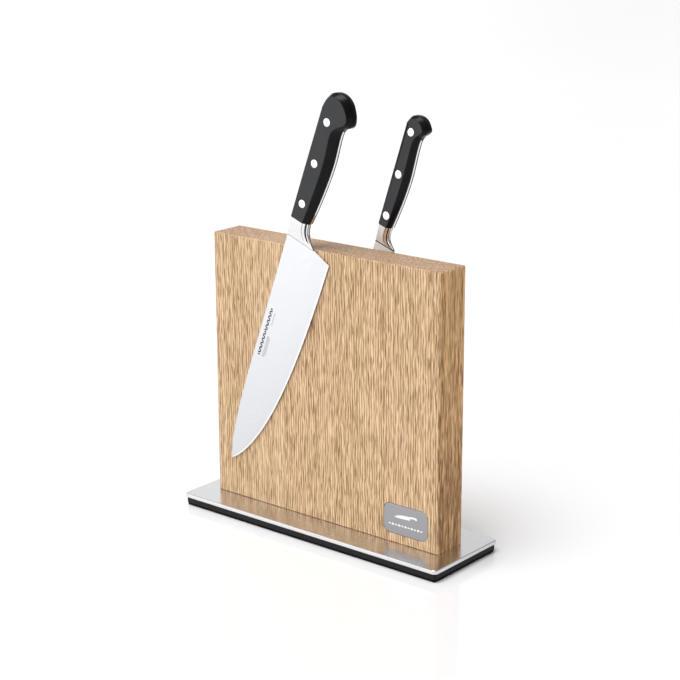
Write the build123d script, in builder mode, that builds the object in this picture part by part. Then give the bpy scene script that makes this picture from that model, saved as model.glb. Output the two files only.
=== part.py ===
"""Free-standing double-sided magnetic knife rack in oak, with two knives held on it.

Frame: millimetres, +Z up, origin at the centre of the base's underside.
X runs along the width of the block, -Y is its front face, +Y its rear face.
"""
import math
import os
from dataclasses import dataclass

from build123d import *

# ---------------------------------------------------------------- driving sizes
BLOCK_WIDTH = 250.0
BLOCK_HEIGHT = 243.0
PANEL_THICKNESS = 17.0
EDGE_BREAK = 0.8

PLATE_LENGTH = 287.0
PLATE_DEPTH = 90.0
PLATE_THICKNESS = 3.5
PLATE_CORNER = 4.0
PLATE_EDGE_ROUND = 0.6

TRAY_INSET = 1.5
TRAY_THICKNESS = 5.5
SHEET_INSET = 0.5
SHEET_THICKNESS = 2.5

SCREW_X = 80.0
SCREW_Y = PANEL_THICKNESS / 2
SCREW_RADIUS = 3.0
SCREW_CLEARANCE = 0.3
SCREW_HEAD_RADIUS = 6.0
SCREW_HEAD_HEIGHT = 3.6
SCREW_SOCKET_ACROSS = 4.0
SCREW_SOCKET_DEPTH = 2.2
HEAD_POCKET_RADIUS = 7.0
HEAD_POCKET_DEPTH = 3.9
INSERT_RADIUS = 4.5
INSERT_LENGTH = 13.0
INSERT_FLANGE = 6.0
INSERT_FLANGE_THICKNESS = 1.0
SCREW_REACH = 12.0

MAGNET_RADIUS = 9.0
MAGNET_THICKNESS = 8.0
KEEPER_THICKNESS = 3.0
MAGNET_WALL = 3.0
MAGNET_BORE_RADIUS = 9.1
MAGNET_PITCH_X = 46.0
MAGNET_PITCH_Z = 52.0
MAGNET_COLUMNS = 5
MAGNET_ROWS = 4

DOWEL_RADIUS = 4.0
DOWEL_LENGTH = 22.0
DOWEL_PLAY = 1.0
DOWEL_X = 113.0
DOWEL_HEIGHTS = (22.0, 121.5, 221.0)

BADGE_LENGTH = 47.0
BADGE_HEIGHT = 26.6
BADGE_CORNER = 7.0
BADGE_THICKNESS = 1.2
BADGE_GAP = 0.25
BADGE_X = 91.0
BADGE_CENTRE_HEIGHT = 21.6
BADGE_GLUE_THICKNESS = 0.15
BADGE_GLUE_INSET = 2.0
BADGE_POCKET_DEPTH = 1.4

KNIFE_STANDOFF = 0.12

# ---------------------------------------------------------------- levels
TRAY_Z = SHEET_THICKNESS
PLATE_Z = TRAY_Z + TRAY_THICKNESS
BLOCK_Z = PLATE_Z + PLATE_THICKNESS
BLOCK_TOP = BLOCK_Z + BLOCK_HEIGHT
BLOCK_MIDDLE = BLOCK_Z + BLOCK_HEIGHT / 2
BADGE_Z = BLOCK_Z + BADGE_CENTRE_HEIGHT

SCREW_PLACES = [(x, y) for x in (-SCREW_X, SCREW_X) for y in (-SCREW_Y, SCREW_Y)]
DOWEL_PLACES = [(x, BLOCK_Z + h) for x in (-DOWEL_X, DOWEL_X) for h in DOWEL_HEIGHTS]

os.makedirs("parts", exist_ok=True)


def save(part: Part, name: str) -> None:
    """Label a finished piece and write it to its own STEP file."""
    part.label = name
    export_step(part, f"parts/{name}.step")


def facing(y: float) -> Plane:
    """A plane at depth y that faces the front, with its x along X and its y along Z."""
    return Plane(origin=(0, y, 0), x_dir=(1, 0, 0), z_dir=(0, -1, 0))


# ---------------------------------------------------------------- base
with BuildPart() as anti_slip_sheet:
    with BuildSketch(Plane.XY):
        inset = TRAY_INSET + SHEET_INSET
        RectangleRounded(PLATE_LENGTH - 2 * inset, PLATE_DEPTH - 2 * inset, PLATE_CORNER - inset)
    extrude(amount=SHEET_THICKNESS)
save(anti_slip_sheet.part, "anti_slip_sheet")

with BuildPart() as base_tray:
    with BuildSketch(Plane.XY.offset(TRAY_Z)):
        RectangleRounded(
            PLATE_LENGTH - 2 * TRAY_INSET, PLATE_DEPTH - 2 * TRAY_INSET, PLATE_CORNER - TRAY_INSET
        )
    extrude(amount=TRAY_THICKNESS)
    with BuildSketch(Plane.XY.offset(TRAY_Z)):
        with Locations(*SCREW_PLACES):
            Circle(HEAD_POCKET_RADIUS)
    extrude(amount=HEAD_POCKET_DEPTH, mode=Mode.SUBTRACT)
    with BuildSketch(Plane.XY.offset(TRAY_Z)):
        with Locations(*SCREW_PLACES):
            Circle(SCREW_RADIUS + SCREW_CLEARANCE)
    extrude(amount=TRAY_THICKNESS, mode=Mode.SUBTRACT)
save(base_tray.part, "base_tray")

with BuildPart() as base_plate:
    with BuildSketch(Plane.XY.offset(PLATE_Z)):
        RectangleRounded(PLATE_LENGTH, PLATE_DEPTH, PLATE_CORNER)
    extrude(amount=PLATE_THICKNESS)
    fillet(base_plate.faces().sort_by(Axis.Z)[-1].edges(), PLATE_EDGE_ROUND)
    with BuildSketch(Plane.XY.offset(PLATE_Z)):
        with Locations(*SCREW_PLACES):
            Circle(SCREW_RADIUS + SCREW_CLEARANCE)
    extrude(amount=PLATE_THICKNESS, mode=Mode.SUBTRACT)
save(base_plate.part, "base_plate")

SCREW_HEAD_SEAT = TRAY_Z + HEAD_POCKET_DEPTH
with BuildPart() as base_screws:
    with BuildSketch(Plane.XY.offset(SCREW_HEAD_SEAT)):
        with Locations(*SCREW_PLACES):
            Circle(SCREW_HEAD_RADIUS)
    extrude(amount=-SCREW_HEAD_HEIGHT)
    with BuildSketch(Plane.XY.offset(SCREW_HEAD_SEAT)):
        with Locations(*SCREW_PLACES):
            Circle(SCREW_RADIUS)
    extrude(amount=BLOCK_Z + SCREW_REACH - SCREW_HEAD_SEAT)
    with BuildSketch(Plane.XY.offset(SCREW_HEAD_SEAT - SCREW_HEAD_HEIGHT)):
        with Locations(*SCREW_PLACES):
            RegularPolygon(SCREW_SOCKET_ACROSS / 2, 6, major_radius=False)
    extrude(amount=SCREW_SOCKET_DEPTH, mode=Mode.SUBTRACT)
save(base_screws.part, "base_screws")

with BuildPart() as threaded_inserts:
    with BuildSketch(Plane.XY.offset(BLOCK_Z)):
        with Locations(*SCREW_PLACES):
            Circle(INSERT_RADIUS)
    extrude(amount=INSERT_LENGTH)
    with BuildSketch(Plane.XY.offset(BLOCK_Z)):
        with Locations(*SCREW_PLACES):
            Circle(INSERT_FLANGE)
    extrude(amount=INSERT_FLANGE_THICKNESS)
    with BuildSketch(Plane.XY.offset(BLOCK_Z)):
        with Locations(*SCREW_PLACES):
            Circle(SCREW_RADIUS)
    extrude(amount=INSERT_LENGTH, mode=Mode.SUBTRACT)
save(threaded_inserts.part, "threaded_inserts")

# ---------------------------------------------------------------- oak panels and what they hold
MAGNET_OUTER_Y = PANEL_THICKNESS - MAGNET_WALL
MAGNET_INNER_Y = MAGNET_OUTER_Y - MAGNET_THICKNESS
KEEPER_INNER_Y = MAGNET_INNER_Y - KEEPER_THICKNESS


def panel_blank(side: int) -> Part:
    """One oak panel with its magnet bores, dowel holes and insert holes.

    Args:
        side: -1 for the front panel, +1 for the rear panel.
    """
    with BuildPart() as panel:
        with BuildSketch(facing(0)):
            with Locations((0, BLOCK_MIDDLE)):
                Rectangle(BLOCK_WIDTH, BLOCK_HEIGHT)
        extrude(amount=-side * PANEL_THICKNESS)
        outer_face = panel.faces().sort_by(Axis.Y)[0 if side < 0 else -1]
        corner_posts = panel.edges().filter_by(Axis.Y)
        chamfer(outer_face.edges() + corner_posts.group_by(Axis.Z)[-1], EDGE_BREAK)
        with BuildSketch(facing(0)):
            with Locations((0, BLOCK_MIDDLE)):
                with GridLocations(MAGNET_PITCH_X, MAGNET_PITCH_Z, MAGNET_COLUMNS, MAGNET_ROWS):
                    Circle(MAGNET_BORE_RADIUS)
        extrude(amount=-side * MAGNET_OUTER_Y, mode=Mode.SUBTRACT)
        with BuildSketch(facing(0)):
            with Locations(*DOWEL_PLACES):
                Circle(DOWEL_RADIUS)
        extrude(amount=-side * (DOWEL_LENGTH / 2 + DOWEL_PLAY), mode=Mode.SUBTRACT)
        own_screws = [place for place in SCREW_PLACES if place[1] * side > 0]
        with BuildSketch(Plane.XY.offset(BLOCK_Z)):
            with Locations(*own_screws):
                Circle(INSERT_RADIUS)
        extrude(amount=INSERT_LENGTH + DOWEL_PLAY, mode=Mode.SUBTRACT)
        with BuildSketch(Plane.XY.offset(BLOCK_Z)):
            with Locations(*own_screws):
                Circle(INSERT_FLANGE)
        extrude(amount=INSERT_FLANGE_THICKNESS, mode=Mode.SUBTRACT)
    return panel.part


def discs(side: int, inner_y: float, thickness: float) -> Part:
    """The grid of round pieces that sits in one panel's bores."""
    with BuildPart() as grid:
        with BuildSketch(facing(side * inner_y)):
            with Locations((0, BLOCK_MIDDLE)):
                with GridLocations(MAGNET_PITCH_X, MAGNET_PITCH_Z, MAGNET_COLUMNS, MAGNET_ROWS):
                    Circle(MAGNET_RADIUS)
        extrude(amount=-side * thickness)
    return grid.part


with BuildPart() as front_oak_panel:
    add(panel_blank(-1))
    with BuildSketch(facing(-PANEL_THICKNESS)):
        with Locations((BADGE_X, BADGE_Z)):
            RectangleRounded(
                BADGE_LENGTH + 2 * BADGE_GAP, BADGE_HEIGHT + 2 * BADGE_GAP, BADGE_CORNER + BADGE_GAP
            )
    extrude(amount=-BADGE_POCKET_DEPTH, mode=Mode.SUBTRACT)
save(front_oak_panel.part, "front_oak_panel")

with BuildPart() as rear_oak_panel:
    add(panel_blank(1))
save(rear_oak_panel.part, "rear_oak_panel")

for panel_name, panel_side in (("front", -1), ("rear", 1)):
    save(discs(panel_side, MAGNET_INNER_Y, MAGNET_THICKNESS), f"{panel_name}_magnets")
    save(discs(panel_side, KEEPER_INNER_Y, KEEPER_THICKNESS), f"{panel_name}_keeper_discs")

with BuildPart() as alignment_dowels:
    with BuildSketch(facing(DOWEL_LENGTH / 2)):
        with Locations(*DOWEL_PLACES):
            Circle(DOWEL_RADIUS)
    extrude(amount=DOWEL_LENGTH)
save(alignment_dowels.part, "alignment_dowels")

BADGE_GLUE_Y = -PANEL_THICKNESS + BADGE_POCKET_DEPTH
BADGE_BACK_Y = BADGE_GLUE_Y - BADGE_GLUE_THICKNESS
with BuildPart() as badge_adhesive:
    with BuildSketch(facing(BADGE_GLUE_Y)):
        with Locations((BADGE_X, BADGE_Z)):
            RectangleRounded(
                BADGE_LENGTH - 2 * BADGE_GLUE_INSET,
                BADGE_HEIGHT - 2 * BADGE_GLUE_INSET,
                BADGE_CORNER - BADGE_GLUE_INSET,
            )
    extrude(amount=BADGE_GLUE_THICKNESS)
save(badge_adhesive.part, "badge_adhesive")

with BuildPart() as steel_badge:
    with BuildSketch(facing(BADGE_BACK_Y)):
        with Locations((BADGE_X, BADGE_Z)):
            RectangleRounded(BADGE_LENGTH, BADGE_HEIGHT, BADGE_CORNER)
    extrude(amount=BADGE_THICKNESS)
    fillet(steel_badge.faces().sort_by(Axis.Y)[0].edges(), BADGE_GAP)
save(steel_badge.part, "steel_badge")


# ---------------------------------------------------------------- knives
@dataclass(frozen=True)
class BladeStation:
    """One cross-section of a blade: its place along the knife, its back and its cutting edge."""

    along: float
    back: float
    edge: float
    thickness: float


@dataclass(frozen=True)
class BolsterStation:
    """One eight-sided cross-section of a bolster.

    The flat runs across from flat_start to flat_end at half_depth from the knife's middle
    plane, and the section is widest, from back to belly, close to that plane.
    """

    along: float
    back: float
    flat_start: float
    flat_end: float
    belly: float
    half_depth: float


@dataclass(frozen=True)
class HandleOutline:
    """The outline of a handle scale at one depth, as (across, along) points.

    The back is a straight line, and the butt, the hook and the belly are smooth curves.
    """

    back_front: tuple
    back_end: tuple
    butt: tuple
    hook_tip: tuple
    throat: tuple
    belly_end: tuple
    belly: tuple
    belly_front: tuple


@dataclass(frozen=True)
class Knife:
    """A forged knife, drawn across (x), along (y) and through (z) in its own leaning plane."""

    name: str
    side: int
    origin_x: float
    origin_z: float
    lean: float
    blade: tuple
    heel: tuple
    bolster: tuple
    widest: HandleOutline
    flat: HandleOutline
    half_depth: float
    rivets: tuple
    hook_start: float
    tongue: tuple
    spine_bevel: tuple

    @property
    def half_blade(self) -> float:
        """Half of the blade's greatest thickness."""
        return self.blade[-1].thickness / 2

    @property
    def joint_start(self) -> float:
        """How far along the knife the bolster ends and the scales begin."""
        return self.widest.back_front[1]

    @property
    def plane(self) -> Plane:
        """The middle plane of the knife: x across to the edge, y up to the butt, z to the front."""
        lean = math.radians(self.lean)
        depth = self.side * (PANEL_THICKNESS + KNIFE_STANDOFF + self.half_blade)
        return Plane(
            origin=(self.origin_x, depth, self.origin_z),
            x_dir=(math.cos(lean), 0, -math.sin(lean)),
            z_dir=(0, -1, 0),
        )

    def cross_plane(self, along: float) -> Plane:
        """A plane square to the knife's length, with x across it and y through its thickness."""
        middle = self.plane
        return Plane(
            origin=middle.from_local_coords((0, along, 0)),
            x_dir=middle.x_dir,
            z_dir=-middle.y_dir,
        )


EDGE_BEVEL = 1.2
EDGE_HALF_THICKNESS = 0.28
EDGE_LAND = 0.06
GRIND_SHARE = 0.7
RIM_SHARE = 0.95
RIDGE_DEPTH = 2.6
SPINE_BEVEL_REACH = 3.0
TANG_HALF = 0.9
TANG_OVERREACH = 2.0
RIVET_HEAD_RADIUS = 3.45
RIVET_HEAD_DEPTH = 1.6
RIVET_TUBE_RADIUS = 2.2
RIVET_PIN_RADIUS = 1.4
RIVET_BORE_RADIUS = 1.45
RIVET_REACH = 3.5
TO_BUTT = (0, 1)
TO_BLADE = (0, -1)
BELLY_FLARE = (-0.17, -1)


def blade_section(station: BladeStation) -> None:
    """Draw a blade's six-sided section: flat-ground flanks and a short edge bevel."""
    half = station.thickness / 2
    grind = min(EDGE_HALF_THICKNESS, half * GRIND_SHARE)
    shoulder = station.edge - EDGE_BEVEL * grind / EDGE_HALF_THICKNESS
    corners = [
        (station.back, -half),
        (shoulder, -grind),
        (station.edge, -EDGE_LAND),
        (station.edge, EDGE_LAND),
        (shoulder, grind),
        (station.back, half),
    ]
    Polygon(*corners, align=None)


def bolster_section(station: BolsterStation) -> None:
    """Draw a bolster's eight-sided section."""
    rim = min(TANG_HALF, station.half_depth * RIM_SHARE)
    corners = [
        (station.back, -rim),
        (station.flat_start, -station.half_depth),
        (station.flat_end, -station.half_depth),
        (station.belly, -rim),
        (station.belly, rim),
        (station.flat_end, station.half_depth),
        (station.flat_start, station.half_depth),
        (station.back, rim),
    ]
    Polygon(*corners, align=None)


def scale_outline(outline: HandleOutline) -> Sketch:
    """A scale's closed outline as five edges, in the same order for every depth."""
    with BuildSketch() as face:
        with BuildLine():
            Line(outline.back_front, outline.back_end)
            Spline(outline.back_end, *outline.butt, outline.hook_tip, tangents=(TO_BUTT, TO_BLADE))
            Spline(outline.hook_tip, *outline.throat, outline.belly_end, tangents=(TO_BLADE, TO_BLADE))
            Spline(
                outline.belly_end, *outline.belly, outline.belly_front, tangents=(TO_BLADE, BELLY_FLARE)
            )
            Line(outline.belly_front, outline.back_front)
        make_face()
    return face.sketch


def tang_bounds(knife: Knife, outward: float) -> Sketch:
    """The tang's bounds: open at back and belly up to the hook, then an enclosed tongue."""
    tongue_back, tongue_belly, tongue_end = knife.tongue
    belly = knife.widest.hook_tip[0]
    with BuildSketch() as face:
        with BuildLine():
            Polyline(
                (-outward, knife.joint_start),
                (belly, knife.joint_start),
                (belly, knife.hook_start),
                (tongue_belly, knife.hook_start),
                (tongue_belly, tongue_end),
                (tongue_back, tongue_end),
                (tongue_back, knife.hook_start),
                (-outward, knife.hook_start),
                close=True,
            )
        make_face()
    return face.sketch


def forging(knife: Knife) -> Part:
    """The blade, bolster and tang, forged in one piece, with holes for the rivets."""
    with BuildPart() as steel:
        for station in knife.blade:
            with BuildSketch(knife.cross_plane(station.along)):
                blade_section(station)
        loft()
        with BuildSketch(knife.plane.offset(-knife.half_depth)):
            Polygon(*knife.heel, align=None)
        extrude(amount=2 * knife.half_depth, mode=Mode.SUBTRACT)
        for station in knife.bolster:
            with BuildSketch(knife.cross_plane(station.along)):
                bolster_section(station)
        loft()
        with BuildSketch(knife.plane.offset(-TANG_HALF)):
            add(scale_outline(knife.widest))
            add(tang_bounds(knife, 0), mode=Mode.INTERSECT)
        extrude(amount=2 * TANG_HALF)
        with BuildSketch(knife.plane.offset(-TANG_HALF)):
            with Locations(*knife.rivets):
                Circle(RIVET_TUBE_RADIUS)
        extrude(amount=2 * TANG_HALF, mode=Mode.SUBTRACT)
    return steel.part


def spine_wedge(knife: Knife, face: int) -> Part:
    """The wedge that is cut off a scale along its spine, to bevel its outer corner."""
    across, deep = knife.spine_bevel
    slope = deep / (across - knife.flat.back_end[0])
    top = knife.half_depth
    low = top - slope * (across + SPINE_BEVEL_REACH)
    with BuildPart() as wedge:
        with BuildSketch(knife.cross_plane(knife.joint_start)):
            corners = [(across, top), (-SPINE_BEVEL_REACH, top), (-SPINE_BEVEL_REACH, low)]
            Polygon(*((x, face * y) for x, y in corners), align=None)
        extrude(amount=-(knife.flat.hook_tip[1] - knife.joint_start))
    return wedge.part


def scale(knife: Knife, face: int) -> Part:
    """One moulded handle scale, pocketed for the tang and counterbored for the rivets.

    Args:
        face: +1 for the scale towards the front of the rack, -1 for the one behind.
    """
    with BuildPart() as half_handle:
        levels = ((0, knife.widest), (RIDGE_DEPTH, knife.widest), (knife.half_depth, knife.flat))
        for depth, outline in levels:
            with BuildSketch(knife.plane.offset(face * depth)):
                add(scale_outline(outline))
        loft(ruled=True)
        add(spine_wedge(knife, face), mode=Mode.SUBTRACT)
        with BuildSketch(knife.plane):
            add(tang_bounds(knife, TANG_OVERREACH))
        extrude(amount=face * TANG_HALF, mode=Mode.SUBTRACT)
        with BuildSketch(knife.plane):
            with Locations(*knife.rivets):
                Circle(RIVET_TUBE_RADIUS)
        extrude(amount=face * knife.half_depth, mode=Mode.SUBTRACT)
        with BuildSketch(knife.plane.offset(face * knife.half_depth)):
            with Locations(*knife.rivets):
                Circle(RIVET_HEAD_RADIUS)
        extrude(amount=-face * RIVET_HEAD_DEPTH, mode=Mode.SUBTRACT)
    return half_handle.part


def rivet_halves(knife: Knife, face: int, shank_radius: float, bore_radius: float) -> Part:
    """One half of each two-part rivet: a head flush with the scale, and its shank.

    Args:
        face: +1 where the heads lie towards the front of the rack, -1 where they lie behind.
        shank_radius: the shank's outer radius.
        bore_radius: the radius of the hole along the shank, or 0 for a solid pin.
    """
    with BuildPart() as halves:
        with BuildSketch(knife.plane.offset(face * knife.half_depth)):
            with Locations(*knife.rivets):
                Circle(RIVET_HEAD_RADIUS)
        extrude(amount=-face * RIVET_HEAD_DEPTH)
        seat = knife.half_depth - RIVET_HEAD_DEPTH
        with BuildSketch(knife.plane.offset(face * seat)):
            with Locations(*knife.rivets):
                Circle(shank_radius)
                if bore_radius:
                    Circle(bore_radius, mode=Mode.SUBTRACT)
        extrude(amount=-face * (seat + RIVET_REACH))
    return halves.part


CHEF_KNIFE = Knife(
    name="chef",
    side=-1,
    origin_x=-36.0,
    origin_z=BLOCK_TOP + 10.5,
    lean=20.7,
    blade=(
        BladeStation(-228.4, 10.3, 11.5, 0.7),
        BladeStation(-222, 8.6, 16.8, 1.1),
        BladeStation(-210, 6.0, 23.6, 1.4),
        BladeStation(-195, 4.2, 29.8, 1.7),
        BladeStation(-175, 2.5, 35.9, 1.9),
        BladeStation(-150, 1.7, 41.1, 2.1),
        BladeStation(-115, 1.25, 45.7, 2.3),
        BladeStation(-75, 1.1, 48.5, 2.45),
        BladeStation(-35, 0.8, 49.8, 2.6),
        BladeStation(0, 0.35, 50.0, 2.6),
    ),
    heel=((31.2, 0.1), (48.9, -4.0), (50.0, -4.6), (53, -4.8), (53, 2), (31.2, 2)),
    bolster=(
        BolsterStation(0, 0.35, 0.7, 30.2, 31.3, 1.3),
        BolsterStation(2, 0.35, 0.8, 24.8, 28.6, 1.8),
        BolsterStation(4, 0.4, 1.0, 19.9, 26.3, 2.6),
        BolsterStation(7, 0.5, 1.5, 17.2, 24.0, 3.7),
        BolsterStation(11, 0.8, 2.2, 15.8, 21.6, 5.0),
        BolsterStation(15.3, 1.0, 2.6, 15.5, 20.5, 6.2),
        BolsterStation(19.6, 1.0, 2.7, 15.8, 20.0, 7.0),
    ),
    widest=HandleOutline(
        back_front=(1.0, 19.6),
        back_end=(0.4, 117),
        butt=(
            (0.9, 124.5), (2.6, 131.0), (5.4, 135.0), (9.6, 137.2), (14.6, 137.9),
            (19.6, 137.2), (24.8, 134.4), (28.9, 129.7), (31.8, 124.4),
        ),
        hook_tip=(33.0, 118.6),
        throat=((31.6, 115.4), (27.4, 112.6)),
        belly_end=(24.5, 105.0),
        belly=((25.9, 79), (24.1, 49), (22.1, 32.5)),
        belly_front=(20.0, 19.6),
    ),
    flat=HandleOutline(
        back_front=(2.6, 19.6),
        back_end=(1.7, 117),
        butt=(
            (2.4, 124.0), (3.7, 128.6), (6.0, 132.2), (9.6, 134.3), (13.6, 134.6),
            (17.6, 133.4), (21.4, 131.2), (25.0, 127.9), (27.8, 124.2),
        ),
        hook_tip=(29.2, 119.8),
        throat=((27.4, 116.0), (22.8, 112.4)),
        belly_end=(17.5, 103.0),
        belly=((19.3, 78), (18.4, 50), (17.2, 33)),
        belly_front=(15.8, 19.6),
    ),
    half_depth=7.0,
    rivets=((9.9, 35.1), (10.3, 73.1), (10.6, 111.3)),
    hook_start=109.0,
    tongue=(4.5, 18.0, 121.0),
    spine_bevel=(2.6, 0.6),
)

UTILITY_KNIFE = Knife(
    name="utility",
    side=1,
    origin_x=30.6,
    origin_z=BLOCK_TOP + 7.4,
    lean=18.9,
    blade=(
        BladeStation(-140, 3.2, 4.2, 0.6),
        BladeStation(-133, 2.0, 8.6, 0.9),
        BladeStation(-120, 0.8, 13.2, 1.2),
        BladeStation(-100, 0.2, 17.2, 1.5),
        BladeStation(-70, 0.0, 19.8, 1.8),
        BladeStation(-35, 0.0, 21.0, 2.0),
        BladeStation(0, 0.0, 21.4, 2.2),
    ),
    heel=((20.4, 0.3), (21.1, -0.4), (24, -0.8), (24, 2), (20.4, 2)),
    bolster=(
        BolsterStation(0, 0.0, 0.5, 19.6, 20.6, 1.1),
        BolsterStation(1.5, 0.0, 0.6, 13.0, 19.2, 1.6),
        BolsterStation(3.2, 0.1, 0.8, 9.8, 17.3, 2.3),
        BolsterStation(6.5, 0.3, 1.5, 8.8, 14.0, 3.7),
        BolsterStation(11.5, 0.5, 2.4, 8.8, 12.4, 5.2),
        BolsterStation(18.0, 0.5, 2.9, 9.8, 12.7, 6.5),
    ),
    widest=HandleOutline(
        back_front=(0.5, 18.0),
        back_end=(-0.2, 107),
        butt=((0.4, 113.2), (2.6, 116.8), (6.6, 118.5), (11.0, 118.9), (15.4, 117.5), (18.9, 114.4)),
        hook_tip=(21.2, 110.3),
        throat=((19.8, 107.3), (17.2, 104.2)),
        belly_end=(15.2, 96.0),
        belly=((16.8, 62), (15.6, 41), (14.2, 29)),
        belly_front=(12.7, 18.0),
    ),
    flat=HandleOutline(
        back_front=(1.5, 18.0),
        back_end=(0.8, 107),
        butt=((1.5, 111.8), (3.6, 114.8), (7.0, 116.2), (10.6, 116.0), (13.8, 114.4), (16.4, 112.0)),
        hook_tip=(17.8, 109.4),
        throat=((16.6, 106.9), (14.0, 103.8)),
        belly_end=(11.4, 96),
        belly=((12.4, 62), (11.8, 41), (11.2, 29)),
        belly_front=(10.0, 18.0),
    ),
    half_depth=6.5,
    rivets=((6.8, 27.9), (6.9, 66.2), (7.0, 104.5)),
    hook_start=100.0,
    tongue=(3.4, 12.0, 112.0),
    spine_bevel=(3.2, 1.1),
)

for knife in (CHEF_KNIFE, UTILITY_KNIFE):
    save(forging(knife), f"{knife.name}_knife_forging")
    save(scale(knife, 1), f"{knife.name}_front_scale")
    save(scale(knife, -1), f"{knife.name}_rear_scale")
    save(rivet_halves(knife, 1, RIVET_PIN_RADIUS, 0), f"{knife.name}_rivet_studs")
    save(rivet_halves(knife, -1, RIVET_TUBE_RADIUS, RIVET_BORE_RADIUS), f"{knife.name}_rivet_sockets")
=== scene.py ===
"""Free-standing oak knife rack with magnets behind both faces, and two knives held on it.

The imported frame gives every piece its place. This script builds the finished surfaces around it:
oiled oak with bevelled edges, a brushed steel base, and two forged knives with riveted handles.
Lengths inside the classes are millimetres, and meshes are made in metres.
"""

import logging
import math
from dataclasses import dataclass
from enum import Enum, IntEnum
from typing import Callable, Optional, Sequence, Union

import bmesh
import bpy
from mathutils import Matrix, Vector


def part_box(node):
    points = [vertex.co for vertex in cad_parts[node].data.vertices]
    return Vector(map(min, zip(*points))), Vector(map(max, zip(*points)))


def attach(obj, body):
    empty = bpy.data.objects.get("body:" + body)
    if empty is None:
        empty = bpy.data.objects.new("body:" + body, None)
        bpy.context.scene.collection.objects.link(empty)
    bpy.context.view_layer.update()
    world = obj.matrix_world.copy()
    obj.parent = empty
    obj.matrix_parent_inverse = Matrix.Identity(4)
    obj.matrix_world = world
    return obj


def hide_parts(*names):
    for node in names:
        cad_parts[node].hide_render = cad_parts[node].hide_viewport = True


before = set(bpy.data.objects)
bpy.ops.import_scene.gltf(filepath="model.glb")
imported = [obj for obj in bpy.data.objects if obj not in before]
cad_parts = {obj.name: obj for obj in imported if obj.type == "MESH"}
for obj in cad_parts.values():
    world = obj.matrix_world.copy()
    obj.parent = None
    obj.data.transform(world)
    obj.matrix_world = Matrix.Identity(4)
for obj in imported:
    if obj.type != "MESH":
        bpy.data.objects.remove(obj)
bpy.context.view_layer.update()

log = logging.getLogger("knife_rack")

MM = 0.001
Point = tuple[float, float]
Triple = tuple[float, float, float]
Colour = Triple
Socket = bpy.types.NodeSocket
Value = Union[float, Sequence[float], Socket]


class Body(Enum):
    """The rigid bodies that a piece can ride on."""

    RACK = "rack"
    CHEF = "chef_knife"
    UTILITY = "utility_knife"


class Face(Enum):
    """Which way a piece looks: out of the rack's front, or out of its rear."""

    FRONT = 1
    REAR = -1


class Steel(IntEnum):
    """The areas of a forging, as material indices: finishes of the steel, and strips that carry painted shade or
    painted reflections.
    """

    FLANK = 0
    EDGE = 1
    BOLSTER = 2
    # Painted shade where the bolster rises from the blade.
    JOINT = 3
    SATIN = 4
    # Painted dark reflection on strips of the bolster.
    SHADE = 5
    # Painted reflection of the oak top on strips of the bolster.
    WARM = 6


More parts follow.
